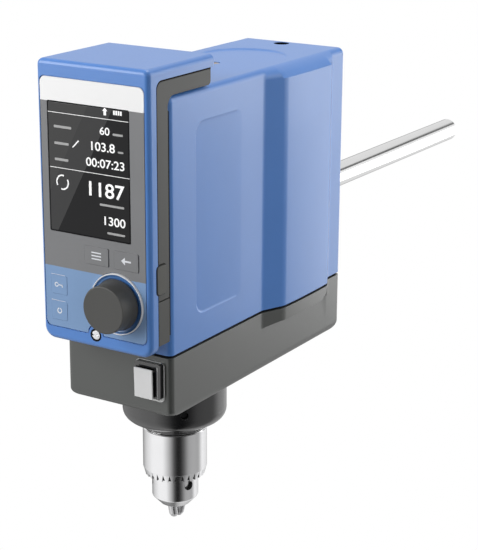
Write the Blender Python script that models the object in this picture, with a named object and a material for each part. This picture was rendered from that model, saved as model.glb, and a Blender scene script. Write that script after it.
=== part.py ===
"""An overhead stirrer: a blue drive housing on a grey cast base, hung on a stand by a long steel rod.

Lengths are in metres. X runs to the stirrer's own left as seen from the front, Y runs back from the
front face of the control head, and Z runs up from the seam between the blue cover and the grey base.
The whole stirrer hangs under one empty, which puts the origin on the rod where a stand grips it.
"""

import math

import bmesh
import bpy
from mathutils import Matrix, Vector

for old in list(bpy.data.objects):
    bpy.data.objects.remove(old, do_unlink=True)

# Fits and facets
GAP = 0.0003
CUT = 0.002
FINE_SIDES = 40
SIDES = 24
SMALL_SIDES = 16
CORNER_STEPS = 4

# Drive housing: the blue cover and the grey base share one plan
BODY_WIDTH = 0.0730
BODY_FRONT = 0.0197
BODY_BACK = 0.2148
BODY_TOP = 0.1475
BODY_CORNER = 0.0035
TOP_FILLET = 0.0040
COVER_WALL = 0.0025
SHOULDER_WIDTH = 0.0855
SHOULDER_CROWN = 0.0006
SHOULDER_FRONT = 0.1172
SHOULDER_RAMP = 0.0155
SHOULDER_FACE = 0.0538
SHOULDER_STATIONS = (0.0, 0.25, 0.5, 0.75, 0.86, 0.95, 1.0)
SHOULDER_REAR_RAMP = 0.0120
SHOULDER_TOP = 0.1410
SEAM = 0.0003
BASE_DEPTH = 0.0367
BASE_WALL = 0.0043
BASE_FLOOR = 0.0034
BASE_FILLET = 0.0045
BASE_SIDE_FILLET = 0.0012
BASE_LIP = 0.0025
LEDGE = 0.0088
LEDGE_FOOT = 0.0104
LEDGE_SLOPE = 0.0008
LEDGE_HEEL = 0.0075

# Shallow grip recess on each side, round dish and holes in the roof
RECESS_FRONT = 0.0448
RECESS_BACK = 0.0950
RECESS_LOW = 0.0175
RECESS_HIGH = 0.1295
RECESS_DEPTH = 0.0008
RECESS_FADE = 0.0032
RECESS_CORNER = 0.0060
DISH_RADIUS = 0.0275
DISH_BACK = 0.1520
DISH_DEPTH = 0.0007
KEY_HOLE_RADIUS = 0.0044
KEY_HOLE_X = -0.0040
KEY_HOLE_Y = 0.2048
COVER_SCREW_Y = 0.1208
SCREW_HEAD_RADIUS = 0.0029
SCREW_HEAD_DEPTH = 0.0010
SCREW_SHANK_RADIUS = 0.0015
SCREW_LENGTH = 0.0100

# Hollow spindle on its bearings, and the belt drive
SPINDLE_Y = 0.0763
SPINDLE_RADIUS = 0.0080
SPINDLE_BORE = 0.0055
SPINDLE_TOP = 0.1430
SPINDLE_BOTTOM = -0.0820
BEARING_HEIGHT = 0.0090
LOWER_BEARING_RADIUS = 0.0160
LOWER_BEARING_TOP = -0.0365
UPPER_BEARING_RADIUS = 0.0140
UPPER_BEARING_TOP = 0.1270
TUBE_RADIUS = 0.0170
TUBE_BORE = 0.0110
TUBE_FLANGE_RADIUS = 0.0230
TUBE_FLANGE = 0.0040
TUBE_TOP = 0.1300
PLATE_TOP = 0.0250
PLATE_THICKNESS = 0.0050
PLATE_CLEARANCE = 0.0002
PLATE_WIDTH = BODY_WIDTH - 2 * (BASE_WALL + PLATE_CLEARANCE)
PLATE_FRONT = 0.0300
PLATE_BACK = 0.2100
PLATE_CORNER = 0.0040
LEG_SIDE = 0.0090
LEG_INSET = 0.0005
LEG_FRONT_Y = 0.0460
LEG_BACK_Y = 0.1835
POST_RADIUS = 0.0040
MOTOR_Y = 0.1525
MOTOR_RADIUS = 0.0265
MOTOR_HEIGHT = 0.0660
MOTOR_SHAFT_RADIUS = 0.0040
ROTOR_TOP = 0.0800
BELT_LOW = 0.0050
BELT_WIDTH = 0.0100
BELT_THICKNESS = 0.0018
SPINDLE_PULLEY_RADIUS = 0.0220
MOTOR_PULLEY_RADIUS = 0.0120
PULLEY_FLANGE = 0.0010
PULLEY_LIP = 0.0018

# Support rod and the block that grips it
ROD_RADIUS = 0.0080
ROD_Z = 0.0483
ROD_VISIBLE = 0.2375
ROD_CHAMFER = 0.0010
ROD_SEAT = 0.1870
ROD_GRIP = 0.1575
CLAMP_WIDTH = 0.0400
CLAMP_FRONT = 0.1825
CLAMP_TOP = 0.0710
CLAMP_SCREW_RADIUS = 0.0020
CLAMP_SCREW_HEAD = 0.0035
CLAMP_SCREW_HEAD_DEPTH = 0.0035

# Black bearing collar under the base
COLLAR_RADIUS = 0.0315
COLLAR_BOTTOM = -0.0662
COLLAR_STRAIGHT = -0.0545
COLLAR_NECK_RADIUS = 0.0192
COLLAR_NECK_TOP = -0.0650
COLLAR_BORE = 0.0100
COLLAR_SCREW_Z = -0.0495
COLLAR_SCREW_ANGLE = -45.0
COLLAR_SCREW_RADIUS = 0.0020
COLLAR_SCREW_LENGTH = 0.0100

# Keyed chuck
CHUCK_TOP = -0.0667
SLEEVE_TOP = -0.0670
SLEEVE_BOTTOM = -0.0980
SLEEVE_RADIUS = 0.0195
SLEEVE_WALL = 0.0022
SLEEVE_LIP = 0.0022
TOOTH_COUNT = 36
TOOTH_HEIGHT = 0.0050
TOOTH_DEPTH = 0.0038
TOOTH_BEVEL = 0.0014
TOOTH_POINTS = (0.0, 0.5, 0.75)
NOSE_RADIUS = 0.01415
NOSE_SHOULDER = -0.1128
NOSE_TIP = -0.1184
NOSE_TIP_RADIUS = 0.0080
CHUCK_BORE = 0.0053
KEY_SOCKET_RADIUS = 0.0030
KEY_SOCKET_Z = -0.1027
KEY_SOCKET_DEPTH = 0.0050
KEY_SOCKET_ANGLE = -20.0
JAW_COUNT = 3
JAW_ANGLE = 40.0
JAW_TILT = 13.0
JAW_RADIUS = 0.0028
JAW_TIP = -0.1270
JAW_TIP_RADIUS = 0.0018
JAW_TIP_CHAMFER = 0.0020
JAW_OFFSET = 0.0020
JAW_HEIGHT = 0.0330
JAW_TRAVEL = 0.0165
JAW_SPLIT = 0.0004
NUT_TOP = -0.0905
NUT_BOTTOM = -0.0955

# Shaft cap in the roof
CAP_RADIUS = 0.0120
CAP_HEIGHT = 0.0018
CAP_PLUG_RADIUS = 0.0083
CAP_PLUG_BOTTOM = 0.1434

# Mains switch in the front of the base
SWITCH_X = 0.0200
SWITCH_Z = -0.0170
SWITCH_WIDTH = 0.0192
SWITCH_HEIGHT = 0.0252
SWITCH_PROUD = 0.0025
SWITCH_CORNER = 0.0018
SWITCH_DEPTH = 0.0150
SWITCH_RIM = 0.0032
SEAL_MARGIN = 0.0010
SEAL_THICKNESS = 0.0005
ROCKER_WIDTH = 0.0120
ROCKER_HEIGHT = 0.0180
ROCKER_PROUD = 0.0060
ROCKER_AXIS = 0.0060
ROCKER_TILT = 5.0
ROCKER_VALLEY = 0.0010
ROCKER_HEEL = 0.0030

# Sockets in the back of the base, and the contacts behind the head
INLET_X = -0.0120
INLET_Z = -0.0180
INLET_WIDTH = 0.0270
INLET_HEIGHT = 0.0198
INLET_DEPTH = 0.0200
INLET_FLANGE = 0.0015
INLET_FLANGE_MARGIN = 0.0015
INLET_CORNER = 0.0020
INLET_WALL = 0.0015
PIN_WIDTH = 0.0020
PIN_HEIGHT = 0.0040
PIN_SPACING = 0.0070
PIN_RISE = 0.0020
SOCKET_X = 0.0170
SOCKET_Z = -0.0180
SOCKET_SIDE = 0.0120
SOCKET_DEPTH = 0.0140
SOCKET_WALL = 0.0012
SOCKET_TONGUE = 0.0032
CONTACT_WIDTH = 0.0300
CONTACT_LOW = 0.0840
CONTACT_HIGH = 0.0960

# Circuit boards and power supply inside the drive housing
BOARD = 0.0016
CONTROL_BOARD_Y = 0.0335
CONTROL_BOARD_INSET = 0.0020
CONTROL_BOARD_WIDTH = PLATE_WIDTH - 2 * CONTROL_BOARD_INSET
CONTROL_BOARD_TOP = 0.1150
SUPPLY_INSET = 0.0102
SUPPLY_WIDTH = PLATE_WIDTH - 2 * SUPPLY_INSET
SUPPLY_FRONT = 0.1000
SUPPLY_BACK = 0.1760
SUPPLY_HEIGHT = 0.0240

# Control head: an L in side view, hooked over the top of the drive housing
HEAD_WIDTH = 0.0744
HEAD_HALF = HEAD_WIDTH / 2
HEAD_BOTTOM = 0.0049
HEAD_TOP = 0.1642
HEAD_CORNER = 0.0035
HEAD_FACE_ROUND = 0.0022
HEAD_FRONT_DEPTH = 0.0088
HEAD_BACK_DEPTH = 0.0093
HOOK_REACH = 0.0625
HOOK_BLUE = 0.0067
HOOK_ROUND = 0.0060
HEAD_BACK_MARGIN = 0.0003
HEAD_BACK_BOTTOM = 0.0105
BATTERY_LINE = 0.0360
HEAD_WALL = 0.0028
HEAD_SIDE_WALL = 0.0042
HEAD_CAVITY_LOW = 0.0170
HEAD_CAVITY_HIGH = 0.1530
HEAD_REAR_WALL = 0.0020
HEAD_REAR_CAVITY_HIGH = 0.1420

# Front panel, display and keys
PANEL_WIDTH = HEAD_WIDTH - 2 * HEAD_FACE_ROUND
PANEL_LOW = 0.0128
PANEL_HIGH = 0.1550
PANEL_CORNER = 0.0035
PANEL_THICKNESS = 0.0005
PANEL_FACE = 0.0001
DISPLAY_LEFT_MARGIN = 0.0068
DISPLAY_RIGHT_MARGIN = 0.0126
DISPLAY_LEFT = DISPLAY_LEFT_MARGIN - HEAD_HALF
DISPLAY_RIGHT = HEAD_HALF - DISPLAY_RIGHT_MARGIN
DISPLAY_LOW = 0.0686
DISPLAY_HIGH = 0.1419
DISPLAY_CORNER = 0.0010
GLASS_THICKNESS = 0.0022
MODULE_MARGIN = 0.0010
KEY_GAP = 0.0003
KEY_TRAVEL = 0.0004
KEY_THICKNESS = 0.0022
KEY_CORNER = 0.0008
WIDE_KEY_WIDTH = 0.0162
WIDE_KEY_STEP = 0.0200
WIDE_KEY_MARGIN = 0.0080
WIDE_KEY_LOW = 0.0534
WIDE_KEY_HIGH = 0.0637
BACK_KEY_RIGHT = HEAD_HALF - WIDE_KEY_MARGIN
MENU_KEY_RIGHT = BACK_KEY_RIGHT - WIDE_KEY_STEP
BACK_KEY = (BACK_KEY_RIGHT - WIDE_KEY_WIDTH, BACK_KEY_RIGHT, WIDE_KEY_LOW, WIDE_KEY_HIGH)
MENU_KEY = (MENU_KEY_RIGHT - WIDE_KEY_WIDTH, MENU_KEY_RIGHT, WIDE_KEY_LOW, WIDE_KEY_HIGH)
SMALL_KEY_WIDTH = 0.0110
LOCK_KEY_MARGIN = 0.0065
POWER_KEY_MARGIN = 0.0063
LOCK_KEY_LEFT = LOCK_KEY_MARGIN - HEAD_HALF
POWER_KEY_LEFT = POWER_KEY_MARGIN - HEAD_HALF
LOCK_KEY = (LOCK_KEY_LEFT, LOCK_KEY_LEFT + SMALL_KEY_WIDTH, 0.0322, 0.0431)
POWER_KEY = (POWER_KEY_LEFT, POWER_KEY_LEFT + SMALL_KEY_WIDTH, 0.0170, 0.0279)
KEY_BOARD_Y = 0.0040
KEY_BOARD_LOW = 0.0172
KEY_BOARD_HIGH = 0.0665
MAIN_BOARD_LOW = 0.0375
MAIN_BOARD_HIGH = 0.1415
BATTERY_THICKNESS = 0.0060
BATTERY_SLACK = 0.0030
BATTERY_WIDTH = HEAD_WIDTH - 2 * (HEAD_SIDE_WALL + BATTERY_SLACK)
BATTERY_LOW = 0.0174
BATTERY_HIGH = 0.0340

# Turn and push knob
KNOB_MARGIN = 0.0225
KNOB_X = HEAD_HALF - KNOB_MARGIN
KNOB_Z = 0.0333
KNOB_RADIUS = 0.0135
KNOB_BASE_RADIUS = 0.0145
KNOB_FRONT = -0.0132
KNOB_BACK = -0.0008
KNOB_ROUND = 0.0007
KNOB_TRAVEL = 0.0005
KNOB_BORE_DEPTH = 0.0085
KNOB_SHAFT_RADIUS = 0.0030
RING_OUTER = 0.0175
RING_INNER = 0.0149
RING_FRONT = -0.0010
ENCODER_SIDE = 0.0120
ENCODER_BACK = 0.0090
PLUNGER_RADIUS = 0.0025
PLUNGER_LENGTH = 0.0025

# Quarter-turn lock screw and the socket flap on the side of the head
LOCK_X = -0.0004
LOCK_Z = 0.0125
LOCK_HEAD_RADIUS = 0.0036
LOCK_HEAD_FRONT = -0.0008
LOCK_HEAD_BACK = 0.0012
LOCK_SHAFT_RADIUS = 0.0020
LOCK_TIP = 0.0255
LOCK_SLOT = 0.0009
FLAP_FRONT = 0.0058
FLAP_BACK = 0.0146
FLAP_LOW = 0.0402
FLAP_HIGH = 0.0565
FLAP_CORNER = 0.0020
FLAP_SEAT = 0.0012
FLAP_PROUD = 0.0006
FLAP_INNER = HEAD_HALF - FLAP_SEAT
FLAP_OUTER = HEAD_HALF + FLAP_PROUD
SLOT_DEPTH = 0.0030
SLOT_THICKNESS = 0.0030
SLOT_LENGTH = 0.0080

# Colour, roughness and metallic value of each finish
FINISHES = {
    "blue_paint": ((0.18, 0.33, 0.68), 0.35, 0.0),
    "grey_cast": ((0.12, 0.12, 0.115), 0.45, 0.0),
    "grey_plastic": ((0.10, 0.10, 0.095), 0.50, 0.0),
    "black_plastic": ((0.02, 0.02, 0.02), 0.30, 0.0),
    "steel": ((0.75, 0.75, 0.75), 0.18, 1.0),
    "aluminium": ((0.70, 0.71, 0.72), 0.35, 1.0),
    "brass": ((0.75, 0.60, 0.35), 0.30, 1.0),
    "rubber": ((0.04, 0.04, 0.04), 0.80, 0.0),
    "panel_film": ((0.22, 0.25, 0.30), 0.35, 0.0),
    "display": ((0.02, 0.02, 0.022), 0.08, 0.0),
    "white_plastic": ((0.82, 0.82, 0.82), 0.35, 0.0),
    "board": ((0.03, 0.16, 0.06), 0.50, 0.0),
}

stirrer = bpy.data.objects.new("stirrer_frame", None)
stirrer.location = (0.0, -(BODY_BACK + ROD_GRIP), -ROD_Z)
bpy.context.scene.collection.objects.link(stirrer)


def finish(name):
    """The material of that name, made the first time that it is asked for."""
    if name in bpy.data.materials:
        return bpy.data.materials[name]
    colour, roughness, metallic = FINISHES[name]
    material = bpy.data.materials.new(name)
    material.use_nodes = True
    shader = material.node_tree.nodes["Principled BSDF"]
    shader.inputs["Base Color"].default_value = (*colour, 1.0)
    shader.inputs["Roughness"].default_value = roughness
    shader.inputs["Metallic"].default_value = metallic
    return material


def place(name, form, material, at=(0.0, 0.0, 0.0)):
    """Make an object of a bmesh whose own origin goes to the point at."""
    mesh = bpy.data.meshes.new(name)
    form.to_mesh(mesh)
    form.free()
    mesh.shade_smooth()
    mesh.set_sharp_from_angle(angle=math.radians(35.0))
    piece = bpy.data.objects.new(name, mesh)
    piece.location = at
    piece.parent = stirrer
    if material:
        mesh.materials.append(finish(material))
    bpy.context.scene.collection.objects.link(piece)
    return piece


def combine(piece, form, operation, at=(0.0, 0.0, 0.0)):
    """Cut a form from a piece, or join it on, with a Boolean modifier."""
    tool = place(f"{piece.name}_tool", form, None, at)
    tool.hide_render = True
    tool.display_type = "WIRE"
    modifier = piece.modifiers.new(operation.lower(), "BOOLEAN")
    modifier.operation = operation
    modifier.solver = "EXACT"
    modifier.object = tool


def cut(piece, form, at=(0.0, 0.0, 0.0)):
    combine(piece, form, "DIFFERENCE", at)


def join(piece, form, at=(0.0, 0.0, 0.0)):
    combine(piece, form, "UNION", at)


def loft(rings, closed=False):
    """Skin rings of equally many points, with flat ends unless the last ring meets the first."""
    form = bmesh.new()
    rows = [[form.verts.new(point) for point in ring] for ring in rings]
    pairs = list(zip(rows, rows[1:]))
    if closed:
        pairs.append((rows[-1], rows[0]))
    for low, high in pairs:
        for i in range(len(low)):
            j = (i + 1) % len(low)
            form.faces.new((low[i], low[j], high[j], high[i]))
    if not closed:
        form.faces.new(rows[0])
        form.faces.new(rows[-1])
    bmesh.ops.recalc_face_normals(form, faces=form.faces)
    return form


def arc(x, y, radius, start, end, steps=CORNER_STEPS):
    """Points along a round corner, from one angle to another in degrees."""
    points = []
    for step in range(steps + 1):
        angle = math.radians(start + (end - start) * step / steps)
        points.append((x + radius * math.cos(angle), y + radius * math.sin(angle)))
    return points


def circle(radius, sides):
    return [
        (radius * math.cos(math.tau * i / sides), radius * math.sin(math.tau * i / sides))
        for i in range(sides)
    ]


def rounded(left, right, low, high, corner, steps=CORNER_STEPS):
    """Outline of a rectangle with round corners."""
    points = arc(right - corner, high - corner, corner, 0, 90, steps)
    points += arc(left + corner, high - corner, corner, 90, 180, steps)
    points += arc(left + corner, low + corner, corner, 180, 270, steps)
    points += arc(right - corner, low + corner, corner, 270, 360, steps)
    return points


def along_z(outline, low, high):
    """Extrude an outline in X and Y between two heights."""
    return loft([[(x, y, z) for x, y in outline] for z in (low, high)])


def along_y(outline, front, back):
    """Extrude an outline in X and Z from front to back."""
    return loft([[(x, y, z) for x, z in outline] for y in (front, back)])


def along_x(outline, left, right):
    """Extrude an outline in Y and Z from left to right."""
    return loft([[(x, y, z) for y, z in outline] for x in (left, right)])


def turned(profile, sides=SIDES):
    """Turn a profile of radius and height round the Z axis, from end to end."""
    return loft([[(x, y, z) for x, y in circle(radius, sides)] for radius, z in profile])


def turned_ring(profile, sides=SIDES):
    """Turn a closed profile of radius and height into a ring round the Z axis."""
    return loft([[(x, y, z) for x, y in circle(radius, sides)] for radius, z in profile], True)


def facing_front(form):
    """Turn a form made round the Z axis so that its top faces the front."""
    bmesh.ops.rotate(form, cent=(0, 0, 0), matrix=Matrix.Rotation(math.radians(90), 3, "X"), verts=form.verts)
    return form


def spun(form, degrees):
    """Turn a form about the Z axis."""
    bmesh.ops.rotate(form, cent=(0, 0, 0), matrix=Matrix.Rotation(math.radians(degrees), 3, "Z"), verts=form.verts)
    return form


def soften(piece, width, segments=2, angle=40.0):
    """Round the sharp edges of a piece."""
    modifier = piece.modifiers.new("edges", "BEVEL")
    modifier.width = width
    modifier.segments = segments
    modifier.limit_method = "ANGLE"
    modifier.angle_limit = math.radians(angle)


def body_plan(inset, share, z, ledge=None, side_inset=None):
    """Plan of the drive housing at one height, drawn in by inset, with a share of its shoulders.

    A ledge lifts the shoulder faces to their own height, and rounds them up at the heel. The two long
    sides can have an inset of their own.
    """
    half = BODY_WIDTH / 2 - (inset if side_inset is None else side_inset)
    bulge = (SHOULDER_WIDTH - BODY_WIDTH) / 2 * share
    corner = max(BODY_CORNER - inset, 0.001)
    front = BODY_FRONT + inset
    back = BODY_BACK - inset
    right = [(x, y, z) for x, y in arc(half - corner, front + corner, corner, -90, 0)]
    right.append((half, SHOULDER_FRONT, z))
    face_front = SHOULDER_FRONT + SHOULDER_RAMP
    for along in SHOULDER_STATIONS:
        crown = SHOULDER_CROWN * share * (1 - (2 * along - 1) ** 2)
        height = z
        if ledge is not None:
            near = max(LEDGE_HEEL - SHOULDER_FACE * (1 - along), 0.0)
            height = ledge + LEDGE_HEEL - math.sqrt(LEDGE_HEEL ** 2 - near ** 2)
        right.append((half + bulge + crown, face_front + SHOULDER_FACE * along, height))
    right.append((half, face_front + SHOULDER_FACE + SHOULDER_REAR_RAMP, z))
    right += [(x, y, z) for x, y in arc(half - corner, back - corner, corner, 0, 90)]
    left = [(-x, y, height) for x, y, height in reversed(right)]
    return right + left


def fillet_rows(radius, steps=3):
    """Inset and drop of each row of a round edge, from the wall to the flat."""
    rows = []
    for step in range(steps + 1):
        angle = math.radians(90.0 * step / steps)
        rows.append((radius * (1 - math.cos(angle)), radius * (1 - math.sin(angle))))
    return rows


def upper_cover():
    """Blue moulded cover, lofted so that its shoulders run out into the roof, and hollow below."""
    rings = [body_plan(0, 1, SEAM / 2), body_plan(0, 1, SHOULDER_TOP)]
    for inset, drop in fillet_rows(TOP_FILLET):
        rings.append(body_plan(inset, drop / (BODY_TOP - SHOULDER_TOP), BODY_TOP - drop))
    cover = place("upper_cover", loft(rings), "blue_paint")
    roof = BODY_TOP - COVER_WALL
    hollow = loft([
        body_plan(COVER_WALL, 1, -CUT),
        body_plan(COVER_WALL, 1, SHOULDER_TOP - COVER_WALL / 2),
        body_plan(COVER_WALL * 2, 0, roof),
    ])
    cut(cover, hollow)
    side_recess(cover, 1)
    side_recess(cover, -1)
    cut(cover, turned([(DISH_RADIUS, BODY_TOP + CUT), (DISH_RADIUS, BODY_TOP - DISH_DEPTH)]), (0, DISH_BACK, 0))
    shaft_hole = CAP_PLUG_RADIUS + GAP
    cut(cover, turned([(shaft_hole, BODY_TOP + CUT), (shaft_hole, roof - CUT)]), (0, SPINDLE_Y, 0))
    cut(cover, turned([(KEY_HOLE_RADIUS, BODY_TOP + CUT), (KEY_HOLE_RADIUS, roof - CUT)], SMALL_SIDES),
        (KEY_HOLE_X, KEY_HOLE_Y, 0))
    head = SCREW_HEAD_RADIUS + GAP
    shank = SCREW_SHANK_RADIUS + GAP
    seat = BODY_TOP - SCREW_HEAD_DEPTH - GAP * 2
    cut(cover, turned([(head, BODY_TOP + CUT), (head, seat), (shank, seat), (shank, roof - CUT)], SMALL_SIDES),
        (0, COVER_SCREW_Y, 0))
    rod_hole = ROD_RADIUS + GAP
    cut(cover, along_y(circle(rod_hole, SIDES), BODY_BACK - COVER_WALL - CUT, BODY_BACK + CUT), (0, 0, ROD_Z))
    lock_hole = LOCK_SHAFT_RADIUS + GAP
    cut(cover, along_y(circle(lock_hole, SMALL_SIDES), BODY_FRONT - CUT, BODY_FRONT + COVER_WALL + CUT),
        (LOCK_X, 0, LOCK_Z))


def side_recess(cover, side):
    """Shallow grip recess on one flat side, deep at the front and running out towards the back."""
    outline = rounded(RECESS_FRONT, RECESS_BACK, RECESS_LOW, RECESS_HIGH, RECESS_CORNER)
    half = BODY_WIDTH / 2
    run_out = RECESS_BACK - RECESS_FADE
    floor = []
    for y, z in outline:
        fade = (run_out - y) / (run_out - RECESS_FRONT)
        floor.append((side * (half - RECESS_DEPTH * fade), y, z))
    cut(cover, loft([floor, [(side * (half + CUT), y, z) for y, z in outline]]))


def base_housing():
    """Grey cast base: an open tray with a locating lip, whose shoulders end in ledges."""
    lip = COVER_WALL + GAP
    rings = [
        body_plan(lip, 1, BASE_LIP),
        body_plan(lip, 1, -SEAM / 2),
        body_plan(0, 1, -SEAM / 2),
        body_plan(0, 1, -LEDGE_FOOT, -LEDGE),
        body_plan(0, 0, -LEDGE_FOOT - LEDGE_SLOPE),
    ]
    for inset, drop in fillet_rows(BASE_FILLET):
        rings.append(body_plan(inset, 0, drop - BASE_DEPTH, None, inset * BASE_SIDE_FILLET / BASE_FILLET))
    base = place("base_housing", loft(rings), "grey_cast")
    floor = BASE_FLOOR - BASE_DEPTH
    cut(base, loft([body_plan(BASE_WALL, 0, BASE_LIP + CUT), body_plan(BASE_WALL, 0, floor)]))
    bore = LOWER_BEARING_RADIUS + GAP
    cut(base, turned([(bore, floor + CUT), (bore, -BASE_DEPTH - CUT)]), (0, SPINDLE_Y, 0))
    body = switch_body_outline(GAP)
    cut(base, along_y(body, BODY_FRONT - CUT, BODY_FRONT + BASE_WALL + CUT), (SWITCH_X, 0, SWITCH_Z))
    inlet = centred(INLET_WIDTH + 2 * GAP, INLET_HEIGHT + 2 * GAP, INLET_CORNER)
    cut(base, along_y(inlet, BODY_BACK - BASE_WALL - CUT, BODY_BACK + CUT), (INLET_X, 0, INLET_Z))
    socket = centred(SOCKET_SIDE + 2 * GAP, SOCKET_SIDE + 2 * GAP, SOCKET_WALL)
    cut(base, along_y(socket, BODY_BACK - BASE_WALL - CUT, BODY_BACK + CUT), (SOCKET_X, 0, SOCKET_Z))


def centred(width, height, corner):
    """Outline of a rectangle round the middle, with small round corners."""
    return rounded(-width / 2, width / 2, -height / 2, height / 2, corner, 2)


def bearing_collar():
    """Black collar bolted under the base: it holds the lower bearing and narrows to a neck."""
    seat = LOWER_BEARING_RADIUS + GAP
    shelf = LOWER_BEARING_TOP - BEARING_HEIGHT - GAP
    top = -BASE_DEPTH - GAP
    bowl = [
        (COLLAR_RADIUS - (COLLAR_RADIUS - COLLAR_NECK_RADIUS) * (1 - math.cos(math.radians(a))),
         COLLAR_STRAIGHT - (COLLAR_STRAIGHT - COLLAR_NECK_TOP) * math.sin(math.radians(a)))
        for a in (0, 22.5, 45, 67.5, 90)
    ]
    profile = [(seat, top), (COLLAR_RADIUS, top)] + bowl
    profile += [(COLLAR_NECK_RADIUS, COLLAR_BOTTOM), (COLLAR_BORE, COLLAR_BOTTOM), (COLLAR_BORE, shelf), (seat, shelf)]
    collar = place("bearing_collar", turned_ring(profile, FINE_SIDES), "black_plastic", (0, SPINDLE_Y, 0))
    hole = COLLAR_SCREW_RADIUS + GAP
    tip = COLLAR_RADIUS - COLLAR_SCREW_LENGTH
    hole_form = along_x(circle(hole, SMALL_SIDES), tip, COLLAR_RADIUS + CUT)
    cut(collar, spun(hole_form, COLLAR_SCREW_ANGLE), (0, SPINDLE_Y, COLLAR_SCREW_Z))
    start = tip + GAP
    screw = along_x(circle(COLLAR_SCREW_RADIUS, SMALL_SIDES), start, start + COLLAR_SCREW_LENGTH * 0.7)
    place("collar_screw", spun(screw, COLLAR_SCREW_ANGLE), "steel", (0, SPINDLE_Y, COLLAR_SCREW_Z))


def bearings():
    """Ball bearings as bought: one closed ring each, at the two ends of the spindle's housing."""
    bore = SPINDLE_RADIUS + GAP
    for name, radius, top in (
        ("lower_bearing", LOWER_BEARING_RADIUS, LOWER_BEARING_TOP),
        ("upper_bearing", UPPER_BEARING_RADIUS, UPPER_BEARING_TOP),
    ):
        low = top - BEARING_HEIGHT
        place(name, turned_ring([(bore, top), (radius, top), (radius, low), (bore, low)]), "steel", (0, SPINDLE_Y, 0))


def spindle_tube():
    """Aluminium tube that stands on the chassis and carries the upper bearing."""
    seat = UPPER_BEARING_RADIUS + GAP
    shelf = UPPER_BEARING_TOP - BEARING_HEIGHT - GAP
    foot = PLATE_TOP + GAP
    profile = [
        (seat, TUBE_TOP), (TUBE_RADIUS, TUBE_TOP), (TUBE_RADIUS, foot + TUBE_FLANGE),
        (TUBE_FLANGE_RADIUS, foot + TUBE_FLANGE), (TUBE_FLANGE_RADIUS, foot),
        (TUBE_BORE, foot), (TUBE_BORE, shelf), (seat, shelf),
    ]
    place("spindle_tube", turned_ring(profile), "aluminium", (0, SPINDLE_Y, 0))


def chassis():
    """Aluminium plate on four legs, with a post that takes the screw of the blue cover."""
    half = PLATE_WIDTH / 2
    low = PLATE_TOP - PLATE_THICKNESS
    outline = rounded(-half, half, PLATE_FRONT, PLATE_BACK, PLATE_CORNER, 2)
    plate = place("chassis", along_z(outline, low, PLATE_TOP), "aluminium")
    foot = BASE_FLOOR - BASE_DEPTH + GAP
    reach = LEG_SIDE / 2
    for side in (-1, 1):
        for y in (LEG_FRONT_Y, LEG_BACK_Y):
            leg = along_z(rounded(-reach, reach, -reach, reach, LEG_INSET, 1), foot, low + CUT)
            join(plate, leg, (side * (half - reach - LEG_INSET), y, 0))
    post_top = BODY_TOP - COVER_WALL - GAP
    join(plate, turned([(POST_RADIUS, post_top), (POST_RADIUS, PLATE_TOP - CUT)], SMALL_SIDES), (0, COVER_SCREW_Y, 0))
    shank = SCREW_SHANK_RADIUS + GAP
    drill = BODY_TOP - SCREW_HEAD_DEPTH - SCREW_LENGTH - CUT
    cut(plate, turned([(shank, post_top + CUT), (shank, drill)], SMALL_SIDES), (0, COVER_SCREW_Y, 0))
    hole = SPINDLE_RADIUS + CUT
    cut(plate, turned([(hole, PLATE_TOP + CUT), (hole, low - CUT)]), (0, SPINDLE_Y, 0))
    shaft = MOTOR_SHAFT_RADIUS + CUT
    cut(plate, turned([(shaft, PLATE_TOP + CUT), (shaft, low - CUT)]), (0, MOTOR_Y, 0))


def cover_screw():
    """Short screw through the roof into the chassis post."""
    top = BODY_TOP - GAP
    neck = top - SCREW_HEAD_DEPTH
    profile = [
        (SCREW_HEAD_RADIUS, top), (SCREW_HEAD_RADIUS, neck),
        (SCREW_SHANK_RADIUS, neck), (SCREW_SHANK_RADIUS, neck - SCREW_LENGTH),
    ]
    place("cover_screw", turned(profile, SMALL_SIDES), "brass", (0, COVER_SCREW_Y, 0))


def spindle():
    """Hollow steel spindle, bored right through so that a long stirring shaft can pass."""
    profile = [
        (SPINDLE_BORE, SPINDLE_TOP), (SPINDLE_RADIUS, SPINDLE_TOP),
        (SPINDLE_RADIUS, SPINDLE_BOTTOM), (SPINDLE_BORE, SPINDLE_BOTTOM),
    ]
    place("spindle", turned_ring(profile), "steel", (0, SPINDLE_Y, 0))


def pulley(name, radius, bore, y, sides=SIDES):
    """Flanged belt pulley on a shaft."""
    low = BELT_LOW - GAP / 2
    high = BELT_LOW + BELT_WIDTH + GAP / 2
    lip = radius + PULLEY_LIP
    profile = [
        (bore, high + PULLEY_FLANGE), (lip, high + PULLEY_FLANGE), (lip, high), (radius, high),
        (radius, low), (lip, low), (lip, low - PULLEY_FLANGE), (bore, low - PULLEY_FLANGE),
    ]
    place(name, turned_ring(profile, sides), "aluminium", (0, y, 0))


def belt_outline(margin):
    """Path of the belt round both pulleys, a margin outside their rims."""
    distance = MOTOR_Y - SPINDLE_Y
    wrap = math.degrees(math.asin((SPINDLE_PULLEY_RADIUS - MOTOR_PULLEY_RADIUS) / distance))
    points = arc(0, MOTOR_Y, MOTOR_PULLEY_RADIUS + margin, wrap, 180 - wrap, 9)
    points += arc(0, SPINDLE_Y, SPINDLE_PULLEY_RADIUS + margin, 180 - wrap, 360 + wrap, 14)
    return points


def drive_belt():
    """Endless belt between the motor pulley and the spindle pulley."""
    low = BELT_LOW + GAP / 2
    high = BELT_LOW + BELT_WIDTH - GAP / 2
    outer = belt_outline(GAP + BELT_THICKNESS)
    inner = belt_outline(GAP)
    rings = []
    for outline, z in ((inner, low), (outer, low), (outer, high), (inner, high)):
        rings.append([(x, y, z) for x, y in outline])
    place("drive_belt", loft(rings, True), "rubber")


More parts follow.
